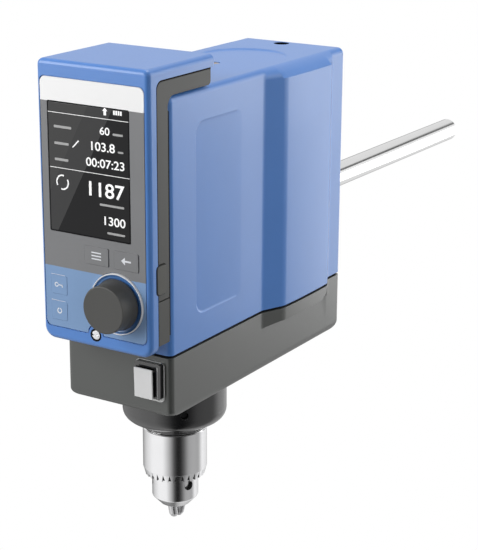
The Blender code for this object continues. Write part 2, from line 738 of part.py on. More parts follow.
def motor():
    """Brushless motor standing on the chassis, and its rotor with the small pulley below."""
    foot = PLATE_TOP + GAP
    bore = MOTOR_SHAFT_RADIUS + GAP
    top = foot + MOTOR_HEIGHT
    profile = [
        (bore, foot), (MOTOR_RADIUS, foot), (MOTOR_RADIUS, top - TOP_FILLET / 2), (MOTOR_RADIUS - TOP_FILLET / 2, top),
        (bore, top),
    ]
    place("motor_can", turned_ring(profile), "aluminium", (0, MOTOR_Y, 0))
    bottom = BELT_LOW - PULLEY_FLANGE - CUT
    shaft = turned([(MOTOR_SHAFT_RADIUS, ROTOR_TOP), (MOTOR_SHAFT_RADIUS, bottom)], SMALL_SIDES)
    place("motor_shaft", shaft, "steel", (0, MOTOR_Y, 0))
    pulley("motor_pulley", MOTOR_PULLEY_RADIUS, bore, MOTOR_Y, SMALL_SIDES)


def support_rod():
    """Steel rod, the block that grips it inside, and the screw that pinches it."""
    end = BODY_BACK + ROD_VISIBLE
    rings = []
    for radius, y in (
        (ROD_RADIUS - ROD_CHAMFER, ROD_SEAT), (ROD_RADIUS, ROD_SEAT + ROD_CHAMFER),
        (ROD_RADIUS, end - ROD_CHAMFER), (ROD_RADIUS - ROD_CHAMFER, end),
    ):
        rings.append([(x, y, z) for x, z in circle(radius, SIDES)])
    place("support_rod", loft(rings), "steel", (0, 0, ROD_Z))
    half = CLAMP_WIDTH / 2
    foot = PLATE_TOP + GAP
    outline = rounded(-half, half, foot, CLAMP_TOP, PLATE_CORNER, 2)
    block = place("rod_clamp", along_y(outline, CLAMP_FRONT, PLATE_BACK), "aluminium")
    cut(block, along_y(circle(ROD_RADIUS + GAP, SIDES), ROD_SEAT - GAP, PLATE_BACK + CUT), (0, 0, ROD_Z))
    drop = math.sqrt(ROD_RADIUS ** 2 - (abs(KEY_HOLE_X) - CLAMP_SCREW_RADIUS) ** 2)
    tip = ROD_Z + drop + GAP * 2
    hole = CLAMP_SCREW_RADIUS + GAP
    cut(block, turned([(hole, CLAMP_TOP + CUT), (hole, ROD_Z)], SMALL_SIDES), (KEY_HOLE_X, KEY_HOLE_Y, 0))
    neck = CLAMP_TOP + GAP
    profile = [
        (CLAMP_SCREW_HEAD, neck + CLAMP_SCREW_HEAD_DEPTH), (CLAMP_SCREW_HEAD, neck),
        (CLAMP_SCREW_RADIUS, neck), (CLAMP_SCREW_RADIUS, tip),
    ]
    place("rod_screw", turned(profile, SMALL_SIDES), "steel", (KEY_HOLE_X, KEY_HOLE_Y, 0))


def jaw_spread(z):
    """Distance of a jaw's centre line from the spindle's axis at one height."""
    return JAW_OFFSET + (z - JAW_TIP) * math.tan(math.radians(JAW_TILT))


def jaw_rod(radius, low, high, sides=SMALL_SIDES):
    """Round bar along a jaw's slanted line, between two heights."""
    rings = []
    for z in (low, high):
        rings.append([(x + jaw_spread(z), y, z) for x, y in circle(radius, sides)])
    return loft(rings)


def chuck_body():
    """Steel chuck body: a nose with key sockets, and three slanted bores that the jaws slide in."""
    outer = SLEEVE_RADIUS - SLEEVE_WALL - GAP
    screw_bore = SPINDLE_RADIUS + GAP
    socket_end = SPINDLE_BOTTOM - GAP
    groove_top = nut_radius(NUT_TOP) - GAP
    groove_bottom = nut_radius(NUT_BOTTOM) - GAP
    profile = [
        (screw_bore, CHUCK_TOP), (outer, CHUCK_TOP),
        (outer, NUT_TOP + GAP), (groove_top, NUT_TOP + GAP), (groove_bottom, NUT_BOTTOM - GAP),
        (NOSE_RADIUS, NUT_BOTTOM - GAP), (NOSE_RADIUS, NOSE_SHOULDER), (NOSE_TIP_RADIUS, NOSE_TIP),
        (CHUCK_BORE, NOSE_TIP), (CHUCK_BORE, socket_end), (screw_bore, socket_end),
    ]
    body = place("chuck_body", turned_ring(profile, FINE_SIDES), "steel", (0, SPINDLE_Y, 0))
    open_top = JAW_TIP + JAW_HEIGHT + JAW_TRAVEL + GAP
    for i in range(JAW_COUNT):
        bore = jaw_rod(JAW_RADIUS + GAP, JAW_TIP - CUT, open_top)
        cut(body, spun(bore, JAW_ANGLE + i * 360 / JAW_COUNT), (0, SPINDLE_Y, 0))
        socket = along_x(circle(KEY_SOCKET_RADIUS, SMALL_SIDES), NOSE_RADIUS - KEY_SOCKET_DEPTH, NOSE_RADIUS + CUT)
        cut(body, spun(socket, KEY_SOCKET_ANGLE + i * 360 / JAW_COUNT), (0, SPINDLE_Y, KEY_SOCKET_Z))


def nut_radius(z):
    """Inner radius of the cone nut, just clear of the backs of the jaws."""
    return jaw_spread(z) + JAW_RADIUS + GAP


def chuck_sleeve():
    """Outer sleeve with crown teeth for the chuck key, and the cone nut that it turns."""
    inner = SLEEVE_RADIUS - SLEEVE_WALL
    lip_top = SLEEVE_BOTTOM + SLEEVE_LIP
    lip_bore = NOSE_RADIUS + GAP
    pitch = math.tau / TOOTH_COUNT

    def ring(flank, valley, z):
        """Ring with three points to a tooth: the two ends of its flank, and the valley after it."""
        points = []
        for i in range(TOOTH_COUNT):
            for part, radius in zip(TOOTH_POINTS, (flank, flank, valley)):
                angle = pitch * (i + part)
                points.append((radius * math.cos(angle), radius * math.sin(angle), z))
        return points

    valley = SLEEVE_RADIUS - TOOTH_DEPTH
    rings = [
        ring(inner, inner, SLEEVE_TOP),
        ring(SLEEVE_RADIUS, SLEEVE_RADIUS, SLEEVE_TOP),
        ring(SLEEVE_RADIUS, SLEEVE_RADIUS, SLEEVE_BOTTOM + TOOTH_HEIGHT),
        ring(SLEEVE_RADIUS - TOOTH_BEVEL, valley, SLEEVE_BOTTOM),
        ring(lip_bore, lip_bore, SLEEVE_BOTTOM),
        ring(lip_bore, lip_bore, lip_top),
        ring(inner, inner, lip_top),
    ]
    place("chuck_sleeve", loft(rings, True), "steel", (0, SPINDLE_Y, 0))
    outer = inner - GAP
    nut = [
        (nut_radius(NUT_TOP), NUT_TOP), (outer, NUT_TOP), (outer, NUT_BOTTOM), (nut_radius(NUT_BOTTOM), NUT_BOTTOM),
    ]
    place("chuck_nut", turned_ring(nut, FINE_SIDES), "steel", (0, SPINDLE_Y, 0))


def jaws():
    """Three round jaws whose tips are cut to wedges, so that they close on the spindle's axis."""
    for i in range(JAW_COUNT):
        top = JAW_TIP + JAW_HEIGHT
        neck = JAW_TIP + JAW_TIP_CHAMFER
        rings = []
        for radius, z in ((JAW_TIP_RADIUS, JAW_TIP), (JAW_RADIUS, neck), (JAW_RADIUS, top)):
            rings.append([(x + jaw_spread(z), y, z) for x, y in circle(radius, SMALL_SIDES)])
        turn = JAW_ANGLE + i * 360 / JAW_COUNT
        jaw = place(f"chuck_jaw_{i + 1}", spun(loft(rings), turn), "steel", (0, SPINDLE_Y, 0))
        reach = JAW_RADIUS * 4
        for side in (-1, 1):
            angle = math.radians(side * 180 / JAW_COUNT)
            edge = Vector((math.cos(angle), math.sin(angle)))
            away = Vector((-math.sin(angle), math.cos(angle))) * side
            start = away * -JAW_SPLIT / 2 - edge * reach
            far = start + edge * 2 * reach
            outline = [start, far, far + away * reach, start + away * reach]
            wedge = along_z([(point.x, point.y) for point in outline], JAW_TIP - CUT, top + CUT)
            cut(jaw, spun(wedge, turn), (0, SPINDLE_Y, 0))


def shaft_cap():
    """Round cap that closes the hollow spindle's opening in the roof and lifts out."""
    seat = BODY_TOP + GAP
    profile = [
        (CAP_RADIUS - GAP * 2, seat + CAP_HEIGHT), (CAP_RADIUS, seat + CAP_HEIGHT - GAP * 2), (CAP_RADIUS, seat),
        (CAP_PLUG_RADIUS, seat), (CAP_PLUG_RADIUS, CAP_PLUG_BOTTOM),
    ]
    place("shaft_cap", turned(profile), "grey_plastic", (0, SPINDLE_Y, 0))


def switch_body_outline(margin):
    """Outline of the switch's body, which passes through the front wall of the base."""
    width = SWITCH_WIDTH - SWITCH_RIM + 2 * margin
    height = SWITCH_HEIGHT - SWITCH_RIM + 2 * margin
    return centred(width, height, SWITCH_CORNER / 2)


def mains_switch():
    """Rocker switch: a frame in the wall, the soft seal round it and the rocker that tips in it."""
    seal_back = BODY_FRONT - GAP
    seal_front = seal_back - SEAL_THICKNESS
    flange_back = seal_front - GAP
    face = BODY_FRONT - SWITCH_PROUD
    back = BODY_FRONT + SWITCH_DEPTH
    at = (SWITCH_X, 0, SWITCH_Z)
    outer = centred(SWITCH_WIDTH, SWITCH_HEIGHT, SWITCH_CORNER)
    seal = place("switch_seal", along_y(centred(SWITCH_WIDTH + 2 * SEAL_MARGIN, SWITCH_HEIGHT + 2 * SEAL_MARGIN,
                 SWITCH_CORNER + SEAL_MARGIN), seal_front, seal_back), "white_plastic", at)
    cut(seal, along_y(switch_body_outline(GAP), seal_front - CUT, seal_back + CUT), at)
    frame = place("switch_frame", along_y(outer, face, flange_back), "black_plastic", at)
    join(frame, along_y(switch_body_outline(0), face + CUT / 4, back), at)
    opening = centred(ROCKER_WIDTH + 4 * GAP, ROCKER_HEIGHT + 2 * CUT, GAP)
    cut(frame, along_y(opening, face - CUT, back - CUT), at)
    rocker()


def rocker():
    """Rocker with a shallow valley across its face, resting with one end tipped in."""
    crest = ROCKER_AXIS + ROCKER_PROUD
    half = ROCKER_HEIGHT / 2
    outline = [
        (-crest, -half), (ROCKER_VALLEY - crest, 0), (-crest, half),
        (ROCKER_HEEL - ROCKER_AXIS, half), (ROCKER_HEEL, half / 3), (ROCKER_HEEL, -half / 3),
        (ROCKER_HEEL - ROCKER_AXIS, -half),
    ]
    tilt = Matrix.Rotation(math.radians(ROCKER_TILT), 2)
    leaning = [tilt @ Vector(point) for point in outline]
    wide = ROCKER_WIDTH / 2
    form = along_x([(point.x, point.y) for point in leaning], -wide, wide)
    lever = place("rocker", form, "white_plastic", (SWITCH_X, BODY_FRONT + ROCKER_AXIS, SWITCH_Z))
    soften(lever, 0.0004)


def rear_sockets():
    """Mains inlet with three pins, and a data socket, in the back wall of the base."""
    depth = BODY_BACK - INLET_DEPTH
    at = (INLET_X, 0, INLET_Z)
    flange_front = BODY_BACK + GAP
    inlet = place("mains_inlet", along_y(centred(INLET_WIDTH + 2 * INLET_FLANGE_MARGIN,
                  INLET_HEIGHT + 2 * INLET_FLANGE_MARGIN, INLET_CORNER), flange_front,
                  flange_front + INLET_FLANGE), "black_plastic", at)
    join(inlet, along_y(centred(INLET_WIDTH, INLET_HEIGHT, INLET_CORNER), depth, flange_front + GAP), at)
    mouth = centred(INLET_WIDTH - 2 * INLET_WALL, INLET_HEIGHT - 2 * INLET_WALL, INLET_WALL)
    cut(inlet, along_y(mouth, depth + INLET_WALL, flange_front + INLET_FLANGE + CUT), at)
    for i in (-1, 0, 1):
        pin = centred(PIN_WIDTH, PIN_HEIGHT, PIN_WIDTH / 4)
        rise = PIN_RISE if i == 0 else -PIN_RISE
        join(inlet, along_y(pin, depth + INLET_WALL / 2, BODY_BACK - CUT), (INLET_X + i * PIN_SPACING, 0, INLET_Z + rise))
    place_socket()


def place_socket():
    """Square data socket with a tongue."""
    at = (SOCKET_X, 0, SOCKET_Z)
    back = BODY_BACK - SOCKET_DEPTH
    socket = place("data_socket", along_y(centred(SOCKET_SIDE, SOCKET_SIDE, SOCKET_WALL), back, BODY_BACK),
                   "steel", at)
    side = SOCKET_SIDE - 2 * SOCKET_WALL
    cut(socket, along_y(centred(side, side, SOCKET_WALL / 2), back + SOCKET_WALL, BODY_BACK + CUT), at)
    tongue = centred(side / 2, SOCKET_TONGUE, SOCKET_WALL / 4)
    join(socket, along_y(tongue, back + SOCKET_WALL / 2, BODY_BACK - CUT), at)


def electronics():
    """Control board beside the spindle tube, power supply on the floor, contacts behind the head."""
    half = CONTROL_BOARD_WIDTH / 2
    foot = PLATE_TOP + GAP
    outline = rounded(-half, half, foot, CONTROL_BOARD_TOP, CUT, 1)
    board = along_y(outline, CONTROL_BOARD_Y, CONTROL_BOARD_Y + BOARD)
    place("control_board", board, "board")
    half = SUPPLY_WIDTH / 2
    floor = BASE_FLOOR - BASE_DEPTH + GAP
    middle = (SUPPLY_FRONT + SUPPLY_BACK) / 2
    supply = place("power_supply", along_z(rounded(-half, half, SUPPLY_FRONT, SUPPLY_BACK, CUT, 1), floor,
                   floor + BOARD), "board")
    core = rounded(-half / 2, half / 2, SUPPLY_FRONT + 3 * CUT, middle, CUT, 1)
    join(supply, along_z(core, floor + BOARD / 2, floor + SUPPLY_HEIGHT))
    can = half / 2 - CUT / 2
    for side in (-1, 1):
        join(supply, turned([(can, floor + SUPPLY_HEIGHT * 0.9), (can, floor + BOARD / 2)], SMALL_SIDES),
             (side * half / 2, middle + 2 * can, 0))
    half = CONTACT_WIDTH / 2
    strip = rounded(-half, half, CONTACT_LOW, CONTACT_HIGH, CUT, 2)
    head_back = HEAD_FRONT_DEPTH + GAP + HEAD_BACK_DEPTH
    place("contact_strip", along_y(strip, head_back + GAP, BODY_FRONT - GAP), "black_plastic")


def head_hook(front, top, reach, arm, round_outer, round_inner, bottom, depth):
    """Side outline of an L: an upright of some depth and an arm of some thickness reaching back."""
    points = [(front, bottom)]
    points += arc(front + round_outer, top - round_outer, round_outer, 180, 90)
    points += [(reach, top), (reach, top - arm)]
    points += arc(front + depth + round_inner, top - arm - round_inner, round_inner, 90, 180)
    points.append((front + depth, bottom))
    return points


def head_front():
    """Blue front of the control head: a rounded frame with a strip that reaches over the top."""
    half = HEAD_HALF
    rings = []
    for inset, drop in reversed(fillet_rows(HEAD_FACE_ROUND)):
        outline = rounded(-half + inset, half - inset, HEAD_BOTTOM + inset, HEAD_TOP - inset, HEAD_CORNER - inset)
        rings.append([(x, drop, z) for x, z in outline])
    outline = rounded(-half, half, HEAD_BOTTOM, HEAD_TOP, HEAD_CORNER)
    rings.append([(x, HOOK_REACH, z) for x, z in outline])
    front = place("head_front", loft(rings), "blue_paint")
    behind = [(HEAD_FRONT_DEPTH, HEAD_BOTTOM - CUT)]
    inner_top = HEAD_TOP - HOOK_BLUE
    behind += arc(HEAD_FRONT_DEPTH + HOOK_ROUND, inner_top - HOOK_ROUND, HOOK_ROUND, 180, 90)
    behind += [(HOOK_REACH + CUT, inner_top), (HOOK_REACH + CUT, HEAD_BOTTOM - CUT)]
    cut(front, along_x(behind, -half - CUT, half + CUT))
    side = half - HEAD_SIDE_WALL
    hollow = rounded(-side, side, HEAD_CAVITY_LOW, HEAD_CAVITY_HIGH, HEAD_SIDE_WALL / 2, 2)
    cut(front, along_y(hollow, HEAD_WALL, HEAD_FRONT_DEPTH + CUT))
    margin = GAP
    seat = PANEL_FACE + PANEL_THICKNESS + GAP
    panel = panel_outline(margin)
    cut(front, along_y(panel, -CUT, seat))
    cut(front, along_y(display_outline(0), -CUT, HEAD_WALL + CUT))
    for key in (MENU_KEY, BACK_KEY, LOCK_KEY, POWER_KEY):
        cut(front, along_y(key_outline(key, KEY_GAP), -CUT, HEAD_WALL + CUT))
    shaft = KNOB_SHAFT_RADIUS + GAP
    cut(front, along_y(circle(shaft, SMALL_SIDES), -CUT, HEAD_WALL + CUT), (KNOB_X, 0, KNOB_Z))
    lock_hole(front, -CUT, HEAD_FRONT_DEPTH + CUT)
    counterbore = LOCK_HEAD_RADIUS + GAP
    cut(front, along_y(circle(counterbore, SIDES), -CUT, LOCK_HEAD_BACK + GAP), (LOCK_X, 0, LOCK_Z))
    flap_pocket(front)


def lock_hole(piece, front, back):
    cut(piece, along_y(circle(LOCK_SHAFT_RADIUS + GAP, SMALL_SIDES), front, back), (LOCK_X, 0, LOCK_Z))


def panel_outline(margin):
    half = PANEL_WIDTH / 2 + margin
    return rounded(-half, half, PANEL_LOW - margin, PANEL_HIGH + margin, PANEL_CORNER + margin)


def display_outline(margin):
    return rounded(DISPLAY_LEFT + margin, DISPLAY_RIGHT - margin, DISPLAY_LOW + margin, DISPLAY_HIGH - margin,
                   DISPLAY_CORNER, 1)


def key_outline(key, margin):
    left, right, low, high = key
    return rounded(left - margin, right + margin, low - margin, high + margin, KEY_CORNER + margin, 2)


def flap_outline(margin):
    return rounded(FLAP_FRONT - margin, FLAP_BACK + margin, FLAP_LOW - margin, FLAP_HIGH + margin, FLAP_CORNER + margin)


def flap_pocket(piece):
    """Pocket in the side of the head that the socket flap closes."""
    cut(piece, along_x(flap_outline(GAP), FLAP_INNER - GAP, HEAD_HALF + CUT))


def head_back():
    """Grey rear shell of the head: an L behind the blue front, and the battery cover below it."""
    half = HEAD_HALF - HEAD_BACK_MARGIN
    front = HEAD_FRONT_DEPTH + GAP
    back = front + HEAD_BACK_DEPTH
    top = HEAD_TOP - HOOK_BLUE - GAP
    arm = top - (BODY_TOP + GAP)
    low = BATTERY_LINE + GAP / 2
    outline = head_hook(front, top, HOOK_REACH - CUT, arm, HOOK_ROUND, HOOK_ROUND, low, HEAD_BACK_DEPTH)
    shell = place("head_back", along_x(outline, -half, half), "grey_plastic")
    side = HEAD_HALF - HEAD_SIDE_WALL
    hollow = rounded(-side, side, low - CUT, HEAD_REAR_CAVITY_HIGH, HEAD_SIDE_WALL / 2, 2)
    cut(shell, along_y(hollow, front - CUT, back - HEAD_REAR_WALL))
    flap_pocket(shell)
    slot_middle = (FLAP_LOW + FLAP_HIGH) / 2
    slot_front = front + GAP
    slot = rounded(slot_front, slot_front + SLOT_THICKNESS, slot_middle - SLOT_LENGTH / 2,
                   slot_middle + SLOT_LENGTH / 2, SLOT_THICKNESS / 4, 1)
    cut(shell, along_x(slot, FLAP_INNER - GAP - SLOT_DEPTH, FLAP_INNER))
    cover_top = BATTERY_LINE - GAP / 2
    outline = rounded(front, back, HEAD_BACK_BOTTOM, cover_top, GAP, 1)
    cover = place("battery_cover", along_x(outline, -half, half), "grey_plastic")
    hollow = rounded(-side, side, HEAD_CAVITY_LOW, cover_top + CUT, GAP, 1)
    cut(cover, along_y(hollow, front - CUT, back - HEAD_REAR_WALL))
    lock_hole(cover, front - CUT, back + CUT)


def head_insides():
    """Boards, display module, battery and encoder, clamped between the two halves of the head."""
    side = HEAD_HALF - HEAD_SIDE_WALL - GAP
    board_front = HEAD_FRONT_DEPTH + 2 * GAP
    main = rounded(-side, side, MAIN_BOARD_LOW, MAIN_BOARD_HIGH, CUT, 1)
    place("main_board", along_y(main, board_front, board_front + BOARD), "board")
    module = rounded(DISPLAY_LEFT - MODULE_MARGIN, DISPLAY_RIGHT + MODULE_MARGIN, DISPLAY_LOW - MODULE_MARGIN,
                     DISPLAY_HIGH + MODULE_MARGIN, MODULE_MARGIN, 1)
    place("display_module", along_y(module, HEAD_WALL + GAP, board_front - GAP), "steel")
    keys = rounded(-side, side, KEY_BOARD_LOW, KEY_BOARD_HIGH, CUT, 1)
    key_board = place("key_board", along_y(keys, KEY_BOARD_Y, KEY_BOARD_Y + BOARD), "board")
    opening = ENCODER_SIDE + 2 * GAP
    cut(key_board, along_y(centred(opening, opening, GAP), KEY_BOARD_Y - CUT, KEY_BOARD_Y + BOARD + CUT),
        (KNOB_X, 0, KNOB_Z))
    half = BATTERY_WIDTH / 2
    cell = rounded(-half, half, BATTERY_LOW, BATTERY_HIGH, CUT, 2)
    back = HEAD_FRONT_DEPTH + GAP + HEAD_BACK_DEPTH - HEAD_REAR_WALL - GAP
    place("battery", along_y(cell, back - BATTERY_THICKNESS, back), "grey_plastic")
    encoder = place("encoder", along_y(centred(ENCODER_SIDE, ENCODER_SIDE, GAP), HEAD_WALL + GAP, ENCODER_BACK),
                    "black_plastic", (KNOB_X, 0, KNOB_Z))
    bore = PLUNGER_RADIUS + GAP
    reach = HEAD_WALL + GAP + PLUNGER_LENGTH + KNOB_TRAVEL + GAP
    cut(encoder, along_y(circle(bore, SMALL_SIDES), HEAD_WALL, reach), (KNOB_X, 0, KNOB_Z))


def front_panel():
    """Thin film over the front of the head, with openings for the display, the keys and the knob."""
    back = PANEL_FACE + PANEL_THICKNESS
    film = place("front_panel", along_y(panel_outline(0), PANEL_FACE, back), "panel_film")
    cut(film, along_y(display_outline(0), PANEL_FACE - CUT, back + CUT))
    for key in (MENU_KEY, BACK_KEY, LOCK_KEY, POWER_KEY):
        cut(film, along_y(key_outline(key, KEY_GAP), PANEL_FACE - CUT, back + CUT))
    cut(film, along_y(circle(RING_OUTER + GAP, FINE_SIDES), PANEL_FACE - CUT, back + CUT), (KNOB_X, 0, KNOB_Z))
    counterbore = LOCK_HEAD_RADIUS + GAP
    cut(film, along_y(circle(counterbore, SIDES), PANEL_FACE - CUT, back + CUT), (LOCK_X, 0, LOCK_Z))
    glass = along_y(display_outline(GAP), PANEL_FACE, PANEL_FACE + GLASS_THICKNESS)
    place("display_glass", glass, "display")


def keys():
    """Four short-travel keys, flush with the panel."""
    for name, key in (
        ("menu_key", MENU_KEY), ("back_key", BACK_KEY), ("lock_key", LOCK_KEY), ("power_key", POWER_KEY),
    ):
        outline = key_outline(key, 0)
        place(name, along_y(outline, PANEL_FACE, PANEL_FACE + KEY_THICKNESS), "panel_film")


def knob():
    """Knob on its shaft, the ring round it, and the plunger that feels a push."""
    at = (KNOB_X, 0, KNOB_Z)
    profile = [
        (KNOB_RADIUS - KNOB_ROUND, -KNOB_FRONT), (KNOB_RADIUS, -KNOB_FRONT - KNOB_ROUND),
        (KNOB_BASE_RADIUS, -KNOB_BACK + KNOB_ROUND), (KNOB_BASE_RADIUS, -KNOB_BACK),
    ]
    grip = place("knob", facing_front(turned(profile, FINE_SIDES)), "grey_plastic", at)
    bore = KNOB_SHAFT_RADIUS + GAP
    cut(grip, along_y(circle(bore, SMALL_SIDES), -KNOB_BORE_DEPTH - GAP, -KNOB_BACK + CUT), at)
    shaft = along_y(circle(KNOB_SHAFT_RADIUS, SMALL_SIDES), -KNOB_BORE_DEPTH, HEAD_WALL - GAP)
    place("knob_shaft", shaft, "steel", at)
    start = HEAD_WALL + GAP
    place("push_plunger", along_y(circle(PLUNGER_RADIUS, SMALL_SIDES), start, start + PLUNGER_LENGTH), "steel", at)
    seat = PANEL_FACE + PANEL_THICKNESS
    ring = [(RING_INNER, -seat), (RING_OUTER, -seat), (RING_OUTER, -RING_FRONT - GAP * 2),
            (RING_OUTER - GAP * 2, -RING_FRONT), (RING_INNER, -RING_FRONT)]
    place("knob_ring", facing_front(turned_ring(ring, FINE_SIDES)), "white_plastic", at)


def lock_screw():
    """Slotted screw that locks the head to the drive housing with a quarter turn."""
    at = (LOCK_X, 0, LOCK_Z)
    profile = [
        (LOCK_HEAD_RADIUS - GAP, -LOCK_HEAD_FRONT), (LOCK_HEAD_RADIUS, -LOCK_HEAD_FRONT - GAP),
        (LOCK_HEAD_RADIUS, -LOCK_HEAD_BACK), (LOCK_SHAFT_RADIUS, -LOCK_HEAD_BACK), (LOCK_SHAFT_RADIUS, -LOCK_TIP),
    ]
    screw = place("lock_screw", facing_front(turned(profile, SMALL_SIDES)), "white_plastic", at)
    half = LOCK_SLOT / 2
    reach = LOCK_HEAD_RADIUS + CUT
    cut(screw, along_y([(-reach, -half), (reach, -half), (reach, half), (-reach, half)], LOCK_HEAD_FRONT - CUT,
        LOCK_HEAD_FRONT + LOCK_SLOT), at)


def socket_flap():
    """Soft flap over the charging socket, hinged along its lower edge."""
    hinge = (FLAP_OUTER, (FLAP_FRONT + FLAP_BACK) / 2, FLAP_LOW)
    outline = [(y - hinge[1], z - hinge[2]) for y, z in flap_outline(0)]
    flap = place("socket_flap", along_x(outline, FLAP_INNER - hinge[0], 0), "rubber", hinge)
    soften(flap, GAP, 1)


upper_cover()
base_housing()
bearing_collar()
bearings()
spindle_tube()
chassis()
cover_screw()
spindle()
pulley("spindle_pulley", SPINDLE_PULLEY_RADIUS, SPINDLE_RADIUS + GAP, SPINDLE_Y)
drive_belt()
motor()
support_rod()
chuck_body()
chuck_sleeve()
jaws()
shaft_cap()
mains_switch()
rear_sockets()
electronics()
head_front()
head_back()
head_insides()
front_panel()
keys()
knob()
lock_screw()
socket_flap()
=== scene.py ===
import math

import bmesh
import bpy
from mathutils import Matrix, Vector


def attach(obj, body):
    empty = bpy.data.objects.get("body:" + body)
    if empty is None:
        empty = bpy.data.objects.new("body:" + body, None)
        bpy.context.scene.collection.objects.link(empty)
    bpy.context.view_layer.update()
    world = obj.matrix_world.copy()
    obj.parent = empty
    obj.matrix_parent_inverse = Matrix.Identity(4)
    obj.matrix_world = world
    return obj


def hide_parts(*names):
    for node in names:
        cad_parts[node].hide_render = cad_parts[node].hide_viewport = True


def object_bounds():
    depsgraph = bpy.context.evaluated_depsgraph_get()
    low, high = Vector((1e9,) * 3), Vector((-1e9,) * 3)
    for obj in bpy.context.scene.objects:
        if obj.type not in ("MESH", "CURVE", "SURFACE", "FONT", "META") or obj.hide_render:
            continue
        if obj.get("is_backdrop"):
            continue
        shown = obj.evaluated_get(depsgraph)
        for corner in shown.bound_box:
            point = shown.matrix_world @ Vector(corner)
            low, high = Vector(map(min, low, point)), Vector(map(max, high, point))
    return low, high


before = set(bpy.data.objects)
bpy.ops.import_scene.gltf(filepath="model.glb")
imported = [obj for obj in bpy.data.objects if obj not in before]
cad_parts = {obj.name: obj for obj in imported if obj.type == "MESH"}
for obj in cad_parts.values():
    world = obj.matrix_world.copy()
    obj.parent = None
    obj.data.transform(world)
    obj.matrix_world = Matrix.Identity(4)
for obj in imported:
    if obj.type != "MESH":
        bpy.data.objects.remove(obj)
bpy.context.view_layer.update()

# Blue upper cover of the drive housing
# A thick moulding with a fine-grained lacquer. Its two shoulders make room for the motor and run out into the
# roof, each flat side has a shallow grip recess, and the roof has a round dish, a screw and a key hole.
FACE = Vector((0.0, -0.3723, -0.0483))
HOUSING_HALF = 0.0365
HOUSING_FRONT = 0.0197
HOUSING_BACK = 0.2148
HOUSING_CORNER = 0.0035
ROOF = 0.1475
ROOF_FILLET = 0.0040
COVER_WALL = 0.0025
SHOULDER_BULGE = 0.00625
SHOULDER_CROWN = 0.0006
SHOULDER_FRONT = 0.1172
SHOULDER_RAMP = 0.0155
SHOULDER_LENGTH = 0.0538
SHOULDER_REAR_RAMP = 0.0120
SHOULDER_TOP = 0.1410
SEAM = 0.0008
# How far a cutting form reaches past the wall that it cuts.
PAST = 0.002
SPINDLE_Y = 0.0763
KEY_HOLE = (-0.0040, 0.2048)
COVER_SCREW = (0.0, 0.1208)
ROD_Z = 0.0483
LOCK = (-0.0004, 0.0125)
GRIP = (0.0448, 0.0950, 0.0175, 0.1295)
GRIP_CORNER = 0.0078
GRIP_END = 0.0925
GRIP_RUN = 0.0455
DISH_Y = 0.1520


def skin(rings, closed=False):
    """Faces between rings of equally many points, with flat ends unless the last ring meets the first."""
    form = bmesh.new()
    rows = [[form.verts.new(point) for point in ring] for ring in rings]
    pairs = list(zip(rows, rows[1:]))
    if closed:
        pairs.append((rows[-1], rows[0]))
    for low, high in pairs:
        for i in range(len(low)):
            j = (i + 1) % len(low)
            form.faces.new((low[i], low[j], high[j], high[i]))
    if not closed:
        form.faces.new(rows[0])
        form.faces.new(rows[-1])
    bmesh.ops.remove_doubles(form, verts=form.verts, dist=1e-7)
    bmesh.ops.recalc_face_normals(form, faces=form.faces)
    return form


def bend(corners, steps=8):
    """Closed outline through corners of x, y and reach, each rounded over that reach to both sides."""
    points = []
    for i, (x, y, reach) in enumerate(corners):
        here = Vector((x, y))
        if reach == 0:
            points.append((x, y))
            continue
        after = corners[(i + 1) % len(corners)]
        inward = (Vector(corners[i - 1][:2]) - here).normalized() * reach
        outward = (Vector(after[:2]) - here).normalized() * reach
        weight = math.sqrt(max((1 - inward.dot(outward) / reach ** 2) / 2, 0.0))
        for step in range(steps + 1):
            along = step / steps
            first = (1 - along) ** 2
            middle = 2 * along * (1 - along) * weight
            last = along ** 2
            total = first + middle + last
            point = (first * (here + inward) + middle * here + last * (here + outward)) / total
            points.append((point.x, point.y))
    return points


def box_outline(left, right, low, high, corner, steps=8):
    """Outline of a rectangle with round corners."""
    corners = [(right, high, corner), (left, high, corner), (left, low, corner), (right, low, corner)]
    return bend(corners, steps)


def round_outline(radius, sides=64):
    """Outline of a circle round the origin."""
    angles = [math.tau * i / sides for i in range(sides)]
    return [(radius * math.cos(angle), radius * math.sin(angle)) for angle in angles]


def upward(outline, low, high, at=(0.0, 0.0)):
    """Outline in plan, drawn up between two heights."""
    return skin([[(x + at[0], y + at[1], z) for x, y in outline] for z in (low, high)])


def backward(outline, front, back, at=(0.0, 0.0)):
    """Outline seen from the front, drawn back between two depths."""
    return skin([[(x + at[0], y, z + at[1]) for x, z in outline] for y in (front, back)])


def grown(area, margin, corner):
    """Outline of an area given by its left, right, low and high edges, with a margin round it."""
    left, right, low, high = area
    return box_outline(left - margin, right + margin, low - margin, high + margin, corner)


def block(area, corner, front, back, at=(0.0, 0.0), margin=0.0):
    """Area with round corners and a margin round it, drawn back between two depths."""
    return backward(grown(area, margin, corner), front, back, at)


def bore(radius, front, back, at, sides=64):
    """Round form that points to the back, between two depths."""
    return backward(round_outline(radius, sides), front, back, at)


def sideways(outline, left, right):
    """Outline seen from the side, drawn across between two places."""
    return skin([[(x, y, z) for y, z in outline] for x in (left, right)])


def baked(piece):
    """Make a piece's modifiers part of its mesh."""
    view = bpy.context.evaluated_depsgraph_get()
    shown = piece.evaluated_get(view)
    mesh = bpy.data.meshes.new_from_object(shown, preserve_all_data_layers=True, depsgraph=view)
    old = piece.data
    piece.modifiers.clear()
    piece.data = mesh
    bpy.data.meshes.remove(old)
    return piece


def placed(name, data):
    """New object in the scene."""
    piece = bpy.data.objects.new(name, data)
    bpy.context.scene.collection.objects.link(piece)
    return piece


